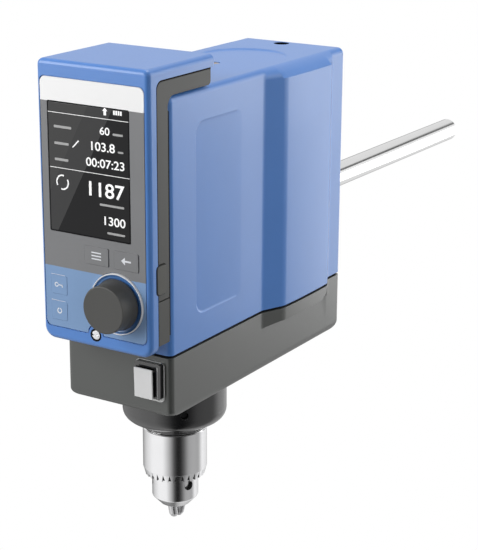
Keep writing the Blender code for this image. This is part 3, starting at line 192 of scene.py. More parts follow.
def stand(name, form):
    """A bmesh made an object at the origin."""
    mesh = bpy.data.meshes.new(name)
    form.to_mesh(mesh)
    form.free()
    return placed(name, mesh)


def carve(piece, forms, operation="DIFFERENCE"):
    """Cut forms from a piece, or join them on."""
    tools = [stand("tool", form) for form in forms]
    for tool in tools:
        modifier = piece.modifiers.new("carve", "BOOLEAN")
        modifier.operation = operation
        modifier.solver = "EXACT"
        modifier.object = tool
    baked(piece)
    for tool in tools:
        bpy.data.objects.remove(tool)
    return piece


def settle(piece, material, body, edge=0.0, crease=35.0, slot=None, node=None, segments=2):
    """Round a piece's sharp edges, put it in place, and give it its finish and the body it moves with."""
    if edge:
        modifier = piece.modifiers.new("edge", "BEVEL")
        modifier.width = edge
        modifier.segments = segments
        modifier.limit_method = "ANGLE"
        modifier.angle_limit = math.radians(crease)
        modifier.harden_normals = False
        baked(piece)
    if material:
        piece.data.materials.clear()
        piece.data.materials.append(material)
    piece.data.shade_smooth()
    piece.data.set_sharp_from_angle(angle=math.radians(crease))
    piece.modifiers.new("even", "WEIGHTED_NORMAL").keep_sharp = True
    baked(piece)
    piece.data.transform(Matrix.Translation(FACE))
    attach(piece, body)
    if node:
        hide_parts(*([node] if isinstance(node, str) else node))
    return piece


def node(tree, kind, **values):
    """Shader node of a kind, with values for its inputs, whose names have underscores in place of spaces."""
    made = tree.nodes.new("ShaderNode" + kind)
    for name, value in values.items():
        made.inputs[name.replace("_", " ")].default_value = value
    return made


def connect(tree, *links):
    """Link outputs of nodes to inputs of others, each by its name or number."""
    for source, out, target, into in links:
        tree.links.new(source.outputs[out], target.inputs[into])


def ramp(tree, stops):
    """Colour ramp with three parts of colour at each of its places, from 0 to 1."""
    made = node(tree, "ValToRGB")
    elements = made.color_ramp.elements
    for i, (place, colour) in enumerate(stops):
        stop = elements[0] if i == 0 else elements[-1] if i == len(stops) - 1 else elements.new(place)
        stop.position = place
        stop.color = (*colour, 1)
    return made


def painted(name):
    """New material with its node tree and its shader."""
    material = bpy.data.materials.new(name)
    material.use_nodes = True
    return material, material.node_tree, material.node_tree.nodes["Principled BSDF"]


def coat(name, colour, roughness, metallic=0.0, grain=0.0006, depth=0.02, vary=0.03, clear=0.0,
         stretch=(1, 1, 1), shine=0.25):
    """Finish with uneven colour and gloss, its grain given by a size in metres and a depth in millimetres."""
    material, tree, shader = painted(name)
    place = node(tree, "TexCoord")
    turn = node(tree, "Mapping", Scale=stretch)
    cloud = node(tree, "TexNoise", Scale=45.0, Detail=3.0)
    fine = node(tree, "TexNoise", Scale=1.0 / grain, Detail=2.0)
    darker = [c * (1 - vary) for c in colour]
    paler = [min(c * (1 + vary), 1.0) for c in colour]
    shade = ramp(tree, ((0.3, darker), (0.7, paler)))
    gloss = node(tree, "MapRange", To_Min=roughness * 0.85, To_Max=roughness * 1.15)
    relief = node(tree, "Bump", Strength=1.0, Distance=depth / 1000)
    connect(tree, (place, "Object", turn, "Vector"), (place, "Object", cloud, "Vector"),
            (turn, "Vector", fine, "Vector"), (cloud, "Fac", shade, "Fac"),
            (shade, "Color", shader, "Base Color"), (fine, "Fac", gloss, "Value"),
            (gloss, "Result", shader, "Roughness"), (fine, "Fac", relief, "Height"),
            (relief, "Normal", shader, "Normal"))
    shader.inputs["Metallic"].default_value = metallic
    shader.inputs["Specular IOR Level"].default_value = shine
    shader.inputs["Coat Weight"].default_value = clear
    shader.inputs["Coat Roughness"].default_value = 0.12
    return material


def housing_plan(inset, share, z, ledge=None, side_inset=None, swell=0.0):
    """Plan of the housing at a height, drawn in by inset, with part of its shoulders and swelled corners."""
    half = HOUSING_HALF - (inset if side_inset is None else side_inset)
    out = half + SHOULDER_BULGE * share
    corner = max(HOUSING_CORNER - inset + swell, 0.0008)
    face_front = SHOULDER_FRONT + SHOULDER_RAMP
    face_back = face_front + SHOULDER_LENGTH
    right = [(half, HOUSING_FRONT + inset, corner), (half, SHOULDER_FRONT, 0.0016), (out, face_front, 0.0026)]
    for step in range(1, 12):
        along = 0.05 + 0.9 * step / 12
        crown = SHOULDER_CROWN * share * 4 * along * (1 - along)
        right.append((out + crown, face_front + SHOULDER_LENGTH * along, 0))
    right += [(out, face_back, 0.0010), (half, face_back + SHOULDER_REAR_RAMP, 0.0016)]
    right.append((half, HOUSING_BACK - inset, corner))
    left = [(-x, y, reach) for x, y, reach in reversed(right)]
    points = []
    for x, y in bend(right + left, 6):
        height = z
        on_ledge = face_front - 0.004 < y < face_back + 0.004 and abs(x) > HOUSING_HALF + 0.0001
        if ledge is not None and on_ledge:
            near = min(max(y - face_back + LEDGE_HEEL, 0.0), LEDGE_HEEL)
            height = ledge + LEDGE_HEEL - math.sqrt(max(LEDGE_HEEL ** 2 - near ** 2, 0.0))
        points.append((x, y, height))
    return points


def edge_rows(radius, steps=8):
    """Inset and drop of each row of a round edge, from the wall to the flat."""
    rows = []
    for step in range(steps + 1):
        angle = math.radians(90.0 * step / steps)
        rows.append((radius * (1 - math.cos(angle)), radius * (1 - math.sin(angle))))
    return rows


blue = coat("blue_lacquer", (0.083, 0.232, 0.610), 0.32, grain=0.0007, depth=0.010, vary=0.015, clear=0.12,
            shine=0.5)
rings = [housing_plan(0, 1, SEAM), housing_plan(0, 1, SHOULDER_TOP)]
for inset, drop in edge_rows(ROOF_FILLET):
    rings.append(housing_plan(inset, drop / (ROOF - SHOULDER_TOP), ROOF - drop))
cover = stand("blue_cover", skin(rings))
ceiling = ROOF - COVER_WALL
hollow = skin([
    housing_plan(COVER_WALL, 1, -PAST), housing_plan(COVER_WALL, 1, SHOULDER_TOP - COVER_WALL / 2),
    housing_plan(COVER_WALL * 2, 0, ceiling),
])
cutters = [hollow]
for side in (-1, 1):
    grip = []
    for inset, out in ((0.0022, -0.0012), (0.0004, -0.0001), (-0.0016, 0.0014)):
        ring = []
        for y, z in grown(GRIP, -inset, GRIP_CORNER - inset):
            share = max((GRIP_END - y) / GRIP_RUN, -0.05)
            ring.append((side * (HOUSING_HALF + out * share + 0.0010 * (out > 0)), y, z))
        grip.append(ring)
    cutters.append(skin(grip))
dish_profile = ((0.0252, -0.0008), (0.0262, -0.0006), (0.0275, 0), (0.0300, 0.0012))
cutters.append(skin([[(x, y + DISH_Y, ROOF + rise) for x, y in round_outline(radius, 96)]
                     for radius, rise in dish_profile]))
for radius, sides, low, at in (
    (0.0086, 64, ceiling - PAST, (0, SPINDLE_Y)), (0.0050, 40, ceiling - PAST, KEY_HOLE),
    (0.0033, 40, ROOF - 0.0016, COVER_SCREW), (0.0018, 24, ceiling - PAST, COVER_SCREW),
):
    cutters.append(upward(round_outline(radius, sides), low, ROOF + PAST, at))
cutters.append(bore(0.0083, HOUSING_BACK - 0.005, HOUSING_BACK + PAST, (0, ROD_Z)))
cutters.append(bore(0.0023, HOUSING_FRONT - PAST, HOUSING_FRONT + 0.005, LOCK, 24))
carve(cover, cutters)
settle(cover, blue, "housing", edge=0.0004, crease=32, slot="cover_blue", node="upper_cover")

# Grey base of the housing
# A cast tray with the same outline as the cover, powder-coated in satin grey. Its shoulders end in ledges that
# curve up at the heel, and it holds the switch in front and the sockets behind.
BASE_DEPTH = 0.0367
BASE_WALL = 0.0043
BASE_FLOOR = 0.0034
LEDGE = -0.0088
LEDGE_FOOT = -0.0104
LEDGE_HEEL = 0.0075
SWITCH = (0.0216, -0.0166)
INLET = (-0.0120, -0.0180)
DATA = (0.0170, -0.0180)
SOCKET_DEPTH = 0.0063
SWITCH_HOLE = (-0.0078, 0.0078, -0.0081, 0.0100)
GASKET_INSET = 0.0014
grey_cast = coat("grey_powder_coat", (0.061, 0.065, 0.061), 0.33, grain=0.0009, depth=0.014, shine=0.75)
lip = COVER_WALL + 0.0003
rings = [
    housing_plan(lip, 1, 0.0025), housing_plan(lip, 1, -SEAM), housing_plan(0, 1, -SEAM),
    housing_plan(0, 1, LEDGE_FOOT, LEDGE), housing_plan(0, 0, LEDGE_FOOT - 0.0008),
]
for inset, drop in edge_rows(0.0045):
    rings.append(housing_plan(inset, 0, drop - BASE_DEPTH, None, inset * 0.28, inset * 1.8))
base = stand("grey_base", skin(rings))
floor_top = BASE_FLOOR - BASE_DEPTH
carve(base, [
    skin([housing_plan(BASE_WALL, 0, 0.0045), housing_plan(BASE_WALL, 0, floor_top)]),
    upward(round_outline(0.0163), -BASE_DEPTH - PAST, floor_top + PAST, (0, SPINDLE_Y)),
    block(SWITCH_HOLE, 0.0012, HOUSING_FRONT - PAST, HOUSING_FRONT + SOCKET_DEPTH, SWITCH),
    block((-0.0091, 0.0107, -0.0114, 0.0130), 0.0029, HOUSING_FRONT - PAST, HOUSING_FRONT + 0.0004, SWITCH),
    block((-0.0138, 0.0138, -0.0102, 0.0102), 0.0020, HOUSING_BACK - SOCKET_DEPTH, HOUSING_BACK + PAST, INLET),
    block((-0.0063, 0.0063, -0.0063, 0.0063), 0.0012, HOUSING_BACK - SOCKET_DEPTH, HOUSING_BACK + PAST, DATA),
])
settle(base, grey_cast, "housing", edge=0.0003, crease=32, slot="base_grey", node="base_housing")
seal_black = coat("seal_black", (0.004, 0.004, 0.005), 0.70, grain=0.0004, depth=0.010, shine=0.1)


def trim(name, form, material, body, **how):
    """Line, ring or strip of the trim, or a piece of painted shade or painted highlight."""
    settle(stand(name, form), material, body, slot="trim_black", **how)


gasket_back = COVER_WALL - 0.0001
gasket_rows = ((GASKET_INSET, -SEAM), (GASKET_INSET, SEAM), (gasket_back, SEAM), (gasket_back, -SEAM))
gasket = skin([housing_plan(inset, 1, z) for inset, z in gasket_rows], True)
trim("housing_gasket", gasket, seal_black, "housing")
bush_profile = ((0.0044, -0.0060), (0.0049, -0.0060), (0.0049, -0.0002), (0.0044, -0.0002))
bush = skin([[(x + KEY_HOLE[0], y + KEY_HOLE[1], ROOF + rise) for x, y in round_outline(radius, 48)]
             for radius, rise in bush_profile], True)
trim("key_hole_bush", bush, seal_black, "housing")

# Black bearing collar under the base
# A turned collar in glossy black, bolted up into the base. It holds the lower bearing, narrows in a bowl to a
# neck, and has a fine groove round its belly and one set screw.
COLLAR_TOP = -0.0370
black_gloss = coat("black_gloss", (0.010, 0.010, 0.011), 0.19, grain=0.0005, depth=0.004, vary=0.05, clear=0.3,
                   shine=1.0)


def turned(profile, sides=96, at=(0.0, SPINDLE_Y, 0.0), closed=True):
    """Turn a profile of radius and height round the upright axis at a place."""
    return skin([[(x + at[0], y + at[1], z + at[2]) for x, y in round_outline(radius, sides)]
                 for radius, z in profile], closed)


def spun(form, degrees, height=0.0):
    """Turn a form round the upright axis and set it on the spindle's axis at a height."""
    turn = Matrix.Rotation(math.radians(degrees), 3, "Z")
    bmesh.ops.rotate(form, cent=(0, 0, 0), matrix=turn, verts=form.verts)
    bmesh.ops.translate(form, vec=(0, SPINDLE_Y, height), verts=form.verts)
    return form


collar_profile = [
    (0.0163, COLLAR_TOP), (0.0315, COLLAR_TOP), (0.0315, -0.0528), (0.03142, -0.0530), (0.03142, -0.0533),
    (0.0315, -0.0535), (0.0315, -0.0548), (0.0313, -0.0562), (0.0308, -0.0576), (0.0299, -0.0590),
    (0.0286, -0.0602), (0.0270, -0.0612), (0.0250, -0.0622), (0.0230, -0.0631), (0.0212, -0.0639),
    (0.0204, -0.0644), (0.0200, -0.0650), (0.0200, -0.0657), (0.0195, -0.0662), (0.0100, -0.0662),
    (0.0100, -0.0458), (0.0163, -0.0458),
]
collar = stand("bearing_collar_black", turned(collar_profile, 128))
carve(collar, [spun(sideways(round_outline(0.0023, 24), 0.0215, 0.0335), -45, -0.0495)])
settle(collar, black_gloss, "housing", edge=0.0002, crease=32, slot="collar_black", node="bearing_collar")

# Support rod
# A round bar of ground and polished steel, 16 mm thick, with a turned chamfer at its end. It is clamped in the
# housing under the key hole in the roof.
ROD_END = HOUSING_BACK + 0.2375
rod_steel = coat("polished_rod", (0.80, 0.80, 0.80), 0.11, metallic=1.0, grain=0.0004, depth=0.0015, vary=0.02,
                 stretch=(1, 0.03, 1))
rod_rings = []
for radius, y in ((0.0070, 0.1870), (0.0080, 0.1880), (0.0080, ROD_END - 0.0012), (0.0077, ROD_END - 0.0006),
                  (0.0068, ROD_END)):
    rod_rings.append([(x, y, z + ROD_Z) for x, z in round_outline(radius, 96)])
rod = stand("polished_support_rod", skin(rod_rings))
settle(rod, rod_steel, "housing", slot="rod_steel", node="support_rod", crease=25)

# Keyed chuck: sleeve with crown teeth
# The outer sleeve is turned from steel and finely ground, with a scribed line round it and a black ring of
# painted shade on its top, where the collar's neck shades it. Its lower rim has a crown of cut teeth that the
# chuck key turns, with painted shade on the floor between the teeth, and the cone nut is pressed inside it.
SLEEVE_TOP = -0.0670
SLEEVE_BOTTOM = -0.0980
SLEEVE_RADIUS = 0.0195
SLEEVE_BORE = 0.0173
TOOTH_COUNT = 30
TOOTH_HEIGHT = 0.0050
TOOTH_ROOT = 0.0157
TOOTH_BEVEL = 0.0014
TOOTH_FACE = SLEEVE_RADIUS - 0.00003
TOOTH_INNER = 0.0150
CROWN_TOP = SLEEVE_BOTTOM + TOOTH_HEIGHT
CROWN_BORE = 0.01445
CROWN_FLOOR = SLEEVE_BOTTOM + 0.0022
SCRIBED_LINE = -0.0828
DARK_TOP = 0.00006
ground_steel = coat("ground_steel", (0.86, 0.86, 0.87), 0.19, metallic=1.0, grain=0.0004, depth=0.004,
                    stretch=(0.02, 0.02, 1))


def tooth():
    """One crown tooth on the X side of the axis, wide at its root, its outer edge leaning in to its tip."""
    pitch = math.tau / TOOTH_COUNT
    rings = []
    for z, outer, share in ((CROWN_TOP + 0.0010, TOOTH_FACE, 0.99), (CROWN_TOP, TOOTH_FACE, 0.99),
                            (SLEEVE_BOTTOM, SLEEVE_RADIUS - TOOTH_BEVEL, 0.36)):
        half = pitch / 2 * share
        corners = [(outer, side) for side in (-1, -0.5, 0, 0.5, 1)] + [(TOOTH_INNER, 1), (TOOTH_INNER, -1)]
        rings.append([(r * math.cos(half * side), r * math.sin(half * side), z) for r, side in corners])
    return skin(rings)


def reckon(tree, operation, second=0.5):
    """Node for one sum, whose second number may be given."""
    made = node(tree, "Math")
    made.operation = operation
    made.inputs[1].default_value = second
    return made


tooth_piece = stand("tooth", tooth())
crown = bpy.data.node_groups.new("crown_teeth", "GeometryNodeTree")
for socket, kind in (("Geometry", "Geometry"), ("Tooth", "Object"), ("Teeth", "Int"), ("Finish", "Material")):
    crown.interface.new_socket(socket, in_out="INPUT", socket_type="NodeSocket" + kind)
crown.interface.new_socket("Geometry", in_out="OUTPUT", socket_type="NodeSocketGeometry")
given = crown.nodes.new("NodeGroupInput")
result = crown.nodes.new("NodeGroupOutput")
shape = crown.nodes.new("GeometryNodeObjectInfo")
points = crown.nodes.new("GeometryNodePoints")
instances = crown.nodes.new("GeometryNodeInstanceOnPoints")
number = crown.nodes.new("GeometryNodeInputIndex")
share = reckon(crown, "DIVIDE")
angle = reckon(crown, "MULTIPLY", math.tau)
turn = node(crown, "CombineXYZ")
both = crown.nodes.new("GeometryNodeJoinGeometry")
real = crown.nodes.new("GeometryNodeRealizeInstances")
dress = crown.nodes.new("GeometryNodeSetMaterial")
connect(crown, (given, "Tooth", shape, "Object"), (given, "Teeth", points, "Count"),
        (points, 0, instances, "Points"), (shape, "Geometry", instances, "Instance"), (number, 0, share, 0),
        (given, "Teeth", share, 1), (share, 0, angle, 0), (angle, 0, turn, "Z"),
        (turn, 0, instances, "Rotation"), (instances, 0, both, 0), (given, "Geometry", both, 0),
        (both, 0, real, 0), (real, 0, dress, "Geometry"), (given, "Finish", dress, "Material"),
        (dress, 0, result, 0))
sleeve_profile = [
    (SLEEVE_BORE, SLEEVE_TOP - 0.0004), (SLEEVE_BORE + 0.0004, SLEEVE_TOP),
    (SLEEVE_RADIUS - 0.0006, SLEEVE_TOP), (SLEEVE_RADIUS, SLEEVE_TOP - 0.0006),
    (SLEEVE_RADIUS, SCRIBED_LINE + 0.00015), (TOOTH_FACE, SCRIBED_LINE),
    (SLEEVE_RADIUS, SCRIBED_LINE - 0.00015), (SLEEVE_RADIUS, CROWN_TOP), (TOOTH_ROOT, SLEEVE_BOTTOM),
    (CROWN_BORE, SLEEVE_BOTTOM), (CROWN_BORE, CROWN_FLOOR), (SLEEVE_BORE, CROWN_FLOOR),
]
sleeve = stand("chuck_sleeve_ground", turned(sleeve_profile, 144, (0, 0, 0)))
ring_of_teeth = sleeve.modifiers.new("crown", "NODES")
ring_of_teeth.node_group = crown
sockets = {item.name: item.identifier for item in crown.interface.items_tree if item.in_out == "INPUT"}
ring_of_teeth[sockets["Tooth"]] = tooth_piece
ring_of_teeth[sockets["Teeth"]] = TOOTH_COUNT
ring_of_teeth[sockets["Finish"]] = ground_steel
baked(sleeve)
bpy.data.objects.remove(tooth_piece)
sleeve.data.transform(Matrix.Translation((0, SPINDLE_Y, 0)))
settle(sleeve, None, "sleeve", slot="chuck_steel", node="chuck_sleeve", crease=30)
# Black finish for rings of painted shade in the chuck's hollows, where the collar and the sleeve shade the
# steel.
painted_shade = coat("painted_shade_black", (0.012, 0.012, 0.012), 0.55, grain=0.0004, depth=0.010)
# Painted shade on the crown's floor between the teeth, dark like the shadow in the gaps.
floor_profile = [
    (SLEEVE_RADIUS - 0.0006, CROWN_TOP - 0.0002), (SLEEVE_RADIUS - 0.0001, CROWN_TOP - 0.0002),
    (TOOTH_ROOT + 0.0003, SLEEVE_BOTTOM + 0.0001), (TOOTH_ROOT - 0.0003, SLEEVE_BOTTOM + 0.0001),
]
trim("crown_floor_dark", turned(floor_profile), painted_shade, "sleeve")


def flat_ring(inner, outer, low, high):
    """Profile of a ring with a square section."""
    return [(inner, low), (inner, high), (outer, high), (outer, low)]


# Painted shade on the sleeve's top, under the collar's neck.
rim_top = flat_ring(SLEEVE_BORE + 0.0004, SLEEVE_RADIUS - 0.0006, SLEEVE_TOP - 0.0002, SLEEVE_TOP + DARK_TOP)
trim("sleeve_rim_dark", turned(rim_top), painted_shade, "sleeve")

# Keyed chuck: body and jaws
# The nose is turned from the same steel, with three holes for the pilot of the key and slanted bores for the
# jaws. Black rings of painted shade lie on its top inside the sleeve and on the walls of the key holes. The
# three round jaws are hardened and ground, and their tips are cut to wedges that meet on the axis.
NOSE_RADIUS = 0.01415
NOSE_TOP = -0.0667
SOCKET_Z = -0.1027
SOCKET_TURN = -20
JAW_TURN = 40
JAW_SLANT = math.tan(math.radians(13))
nose_profile = [
    (0.0083, NOSE_TOP), (0.0170, NOSE_TOP), (0.0170, -0.0902), (NOSE_RADIUS, -0.0902), (NOSE_RADIUS, -0.1120),
    (NOSE_RADIUS - 0.0003, -0.1127), (NOSE_RADIUS - 0.0012, -0.1136), (0.0090, -0.1178), (0.0080, -0.1184),
    (0.0053, -0.1184), (0.0053, -0.0823), (0.0083, -0.0823),
]
nose = stand("chuck_nose_ground", turned(nose_profile, 128))
cutters = []
for i in range(3):
    socket = sideways(round_outline(0.0030, 40), NOSE_RADIUS - 0.0024, NOSE_RADIUS + 0.002)
    cutters.append(spun(socket, SOCKET_TURN + 120 * i, SOCKET_Z))
    slide = [[(x + 0.0020 + (z + 0.1270) * JAW_SLANT, y, z) for x, y in round_outline(0.0031, 32)]
             for z in (-0.1290, -0.0772)]
    cutters.append(spun(skin(slide), JAW_TURN + 120 * i))
carve(nose, cutters)
settle(nose, ground_steel, "spindle", edge=0.0003, crease=34, slot="chuck_steel", node="chuck_body")
# Painted shade on the nose's top inside the sleeve, under the collar.
nose_top = flat_ring(0.0095, 0.0170, NOSE_TOP - 0.0002, NOSE_TOP + DARK_TOP)
trim("nose_top_dark", turned(nose_top), painted_shade, "spindle")
# Painted shade lining the walls of the three key holes.
socket_shade_profile = ((0.0020, -0.0023), (0.0029, -0.0023), (0.0029, -0.0008), (0.0024, -0.0008))
for i in range(3):
    liner = skin([[(NOSE_RADIUS + out, y, z) for y, z in round_outline(radius, 40)]
                  for radius, out in socket_shade_profile], True)
    trim(f"key_socket_liner_{i + 1}", spun(liner, SOCKET_TURN + 120 * i, SOCKET_Z), painted_shade, "spindle")
jaw_steel = coat("hardened_jaws", (0.66, 0.66, 0.67), 0.36, metallic=1.0, grain=0.0004, depth=0.004)
for i in range(3):
    jaw_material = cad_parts[f"chuck_jaw_{i + 1}"].data.materials
    jaw_material.clear()
    jaw_material.append(jaw_steel)

# Mains switch
# A bought rocker switch in the front of the base: a glossy black frame with a pale strip of painted highlight
# on its right edge, a thin pale seal behind it, and a light grey rocker with black sides that tips on a pin.
SWITCH_FRONT = HOUSING_FRONT - 0.0036
REST_TILT = 1.5
switch_frame = stand("switch_bezel", block((-0.0074, 0.0100, -0.0084, 0.0124), 0.0012, SWITCH_FRONT,
                                           HOUSING_FRONT - 0.0003, SWITCH))
carve(switch_frame, [block((-0.0073, 0.0077, -0.0080, 0.0099), 0.0009, HOUSING_FRONT - 0.0015,
                           HOUSING_FRONT + 0.0150, SWITCH)], "UNION")
carve(switch_frame, [block((-0.0065, 0.0061, -0.0076, 0.0095), 0.0004, SWITCH_FRONT - PAST,
                           HOUSING_FRONT + 0.0130, SWITCH)])
settle(switch_frame, black_gloss, "housing", edge=0.0003, slot="trim_black", node="switch_frame")
# Painted highlight: a pale strip on the frame's front right edge, where the glossy black would catch the light.
bezel_highlight_strip = block((0.0076, 0.0083, -0.0078, 0.0108), 0.0003, SWITCH_FRONT - 0.0001, SWITCH_FRONT + 0.0006,
                   SWITCH)
highlight_grey = coat("bezel_highlight_strip", (0.42, 0.42, 0.42), 0.25, grain=0.0005, depth=0.004)
trim("bezel_line_pale", bezel_highlight_strip, highlight_grey, "housing", edge=0.0001)
pale_rubber = coat("pale_seal", (0.80, 0.81, 0.80), 0.45, grain=0.0005, depth=0.01)
seal = stand("switch_seal_pale", block((-0.0088, 0.0103, -0.0110, 0.0126), 0.0026, HOUSING_FRONT - 0.0003,
                                       HOUSING_FRONT + 0.0003, SWITCH))
carve(seal, [block(SWITCH_HOLE, 0.0012, HOUSING_FRONT - PAST, HOUSING_FRONT + PAST, SWITCH)])
settle(seal, pale_rubber, "housing", edge=0.00015, slot="white", node="switch_seal")
light_grey = coat("light_grey_plastic", (0.74, 0.74, 0.74), 0.30, depth=0.008, clear=0.1)


def rocker_part(name, sides, depth, heights, material, slot, node=None):
    """Block of the rocker, tipped as it rests, given by its sides, depths and heights from the pin."""
    tilt = Matrix.Rotation(math.radians(REST_TILT), 2)
    corners = [(depth[0], heights[0]), (depth[0], heights[1]), (depth[1], heights[1]), (depth[1], heights[0])]
    leaning = [tilt @ Vector(point) for point in corners]
    form = sideways([(p.x, p.y) for p in leaning], *sides)
    bmesh.ops.translate(form, vec=(SWITCH[0], HOUSING_FRONT + 0.0060, SWITCH[1]), verts=form.verts)
    settle(stand(name, form), material, "rocker", edge=0.0003, segments=3, slot=slot, node=node)


rocker_part("rocker_face", (-0.0060, 0.0063), (-0.0125, -0.0114), (-0.0078, 0.0099), light_grey, "white",
            "rocker")
rocker_part("rocker_side", (-0.0057, 0.0056), (-0.0114, -0.0080), (-0.0053, 0.0073), black_gloss, "trim_black")
rocker_part("rocker_core", (-0.0055, 0.0054), (-0.0080, 0.0020), (-0.0058, 0.0078), black_gloss, "trim_black")

# Blue front of the control head
# A moulding in the same blue lacquer, with round edges, that hooks over the roof of the housing. Its face has a
# shallow seat for the panel film and openings for the display, the keys, the knob and the lock screw.
HEAD_HALF = 0.0372
HEAD_BOTTOM = 0.0049
HEAD_TOP = 0.1642
HEAD_DEPTH = 0.0070
HEAD_CORNER = 0.0036
HEAD_FOOT_CORNER = 0.0070
HOOK_REACH = 0.0625
HOOK_BLUE = 0.0067
PANEL = (-0.0350, 0.0342, 0.0128, 0.1550)
DISPLAY = (-0.0304, 0.0246, 0.0686, 0.1419)
KEYS = {
    "menu_key": (-0.0070, 0.0092, 0.0534, 0.0637),
    "back_key": (0.0130, 0.0292, 0.0534, 0.0637),
    "lock_key": (-0.0307, -0.0197, 0.0322, 0.0431),
    "power_key": (-0.0309, -0.0199, 0.0170, 0.0279),
}
KNOB = (0.0147, 0.0333)
PANEL_CORNER = 0.0035
OPENING_BACK = 0.0048
BOARD_BAY = (-0.0330, 0.0330, 0.0170, 0.1530)
BAY_CORNER = 0.0021
FLAP_SEAT = (0.0053, 0.0151, 0.0397, 0.0570)


def film_outline(margin):
    """Outline of the panel film, with a round notch over the lock screw."""
    notch = 0.0051 - margin
    left, right = PANEL[0] - margin, PANEL[1] + margin
    low, high = PANEL[2] - margin, PANEL[3] + margin
    return bend([
        (right, high, PANEL_CORNER), (left, high, PANEL_CORNER), (left, low, PANEL_CORNER),
        (LOCK[0] - notch, low, 0.0008), (LOCK[0] - notch, LOCK[1] + notch, 0.0040),
        (LOCK[0] + notch, LOCK[1] + notch, 0.0040), (LOCK[0] + notch, low, 0.0008), (right, low, PANEL_CORNER),
    ])


def head_outline(inset):
    """Outline of the head's front, with larger corners at its foot, drawn in by inset."""
    half = HEAD_HALF - inset
    top, foot = HEAD_CORNER - inset, HEAD_FOOT_CORNER - inset
    return bend([(half, HEAD_TOP - inset, top), (-half, HEAD_TOP - inset, top),
                 (-half, HEAD_BOTTOM + inset, foot), (half, HEAD_BOTTOM + inset, foot)])


def flap_seat(left):
    """Seat of the rubber flap, cut from the right side to a depth."""
    return sideways(grown(FLAP_SEAT, 0, 0.0025), left, 0.0400)


rings = []
for inset, drop in reversed(edge_rows(0.0028)):
    rings.append([(x, drop, z) for x, z in head_outline(inset)])
rings.append([(x, HOOK_REACH, z) for x, z in head_outline(0)])
head_front = stand("head_front_blue", skin(rings))
under = HEAD_TOP - HOOK_BLUE
behind = bend([
    (HEAD_DEPTH, HEAD_BOTTOM - 0.004, 0), (HEAD_DEPTH, under, 0.0048), (HOOK_REACH + 0.004, under, 0),
    (HOOK_REACH + 0.004, HEAD_BOTTOM - 0.004, 0),
], 10)
cutters = [
    sideways(behind, -0.045, 0.045),
    block(BOARD_BAY, BAY_CORNER, 0.0028, HEAD_DEPTH + PAST),
    backward(film_outline(0.0003), -PAST, 0.0010),
    block(DISPLAY, 0.0010, -PAST, OPENING_BACK),
    bore(0.0033, -PAST, OPENING_BACK, KNOB, 32),
    bore(0.0023, -PAST, HEAD_DEPTH + PAST, LOCK, 32),
    bore(0.0037, -PAST, 0.0015, LOCK, 48),
    flap_seat(0.0355),
]
for area in KEYS.values():
    cutters.append(block(area, 0.0011, -PAST, OPENING_BACK, margin=0.0004))
carve(head_front, cutters)
settle(head_front, blue, "head", edge=0.0003, crease=32, slot="cover_blue", node="head_front")

# Grey rear shell and battery cover of the head
# Two satin grey mouldings behind the blue front, with black filler in the joint. The upper one carries the
# boards, the lower one closes the battery bay, and two black seal strips lie between shell and housing;
# their black is also painted shade, the shadow in the gap between them.
grey_shell = coat("grey_plastic", (0.072, 0.073, 0.069), 0.40, grain=0.0005, depth=0.014, shine=0.2)
SHELL_FRONT = HEAD_DEPTH + 0.0009
SHELL_BACK = 0.0182
SHELL_WALL = 0.0020
SHELL_HALF = 0.0369
SHELL_TOP = HEAD_TOP - HOOK_BLUE - 0.0009
SHELL_ARM = ROOF + 0.0003
ARM_END = HOOK_REACH - 0.0026
BATTERY_LINE = 0.0360
JOINT_HALF = 0.00025
elbow = bend([
    (SHELL_FRONT, BATTERY_LINE + JOINT_HALF, 0), (SHELL_FRONT, SHELL_TOP, 0.0045), (ARM_END, SHELL_TOP, 0.0004),
    (ARM_END, SHELL_ARM, 0.0024), (SHELL_BACK, SHELL_ARM, 0.0060), (SHELL_BACK, BATTERY_LINE + JOINT_HALF, 0),
], 10)
shell = stand("head_shell_grey", sideways(elbow, -SHELL_HALF, SHELL_HALF))
carve(shell, [
    block((-0.0330, 0.0330, BATTERY_LINE - PAST, 0.1420), BAY_CORNER, SHELL_FRONT - PAST,
          SHELL_BACK - SHELL_WALL),
    flap_seat(0.0355),
    sideways(box_outline(SHELL_FRONT + 0.0003, SHELL_FRONT + 0.0033, 0.0444, 0.0524, 0.0007), 0.0327, 0.0360),
])
settle(shell, grey_shell, "head", edge=0.0004, crease=35, slot="shell_grey", node="head_back")
joint_end = HOOK_REACH - 0.0030
joint = bend([
    (HEAD_DEPTH, 0.0110, 0), (HEAD_DEPTH, under, 0.0048), (joint_end, under, 0), (joint_end, SHELL_TOP, 0),
    (SHELL_FRONT, SHELL_TOP, 0.0040), (SHELL_FRONT, 0.0110, 0),
], 10)
liner = stand("joint_liner_black", sideways(joint, -0.0370, 0.0370))
carve(liner, [
    block(BOARD_BAY, BAY_CORNER, HEAD_DEPTH - PAST, SHELL_FRONT + PAST),
    bore(0.0023, HEAD_DEPTH - PAST, SHELL_FRONT + PAST, LOCK, 24),
    flap_seat(0.0353),
])
settle(liner, seal_black, "head", slot="trim_black")
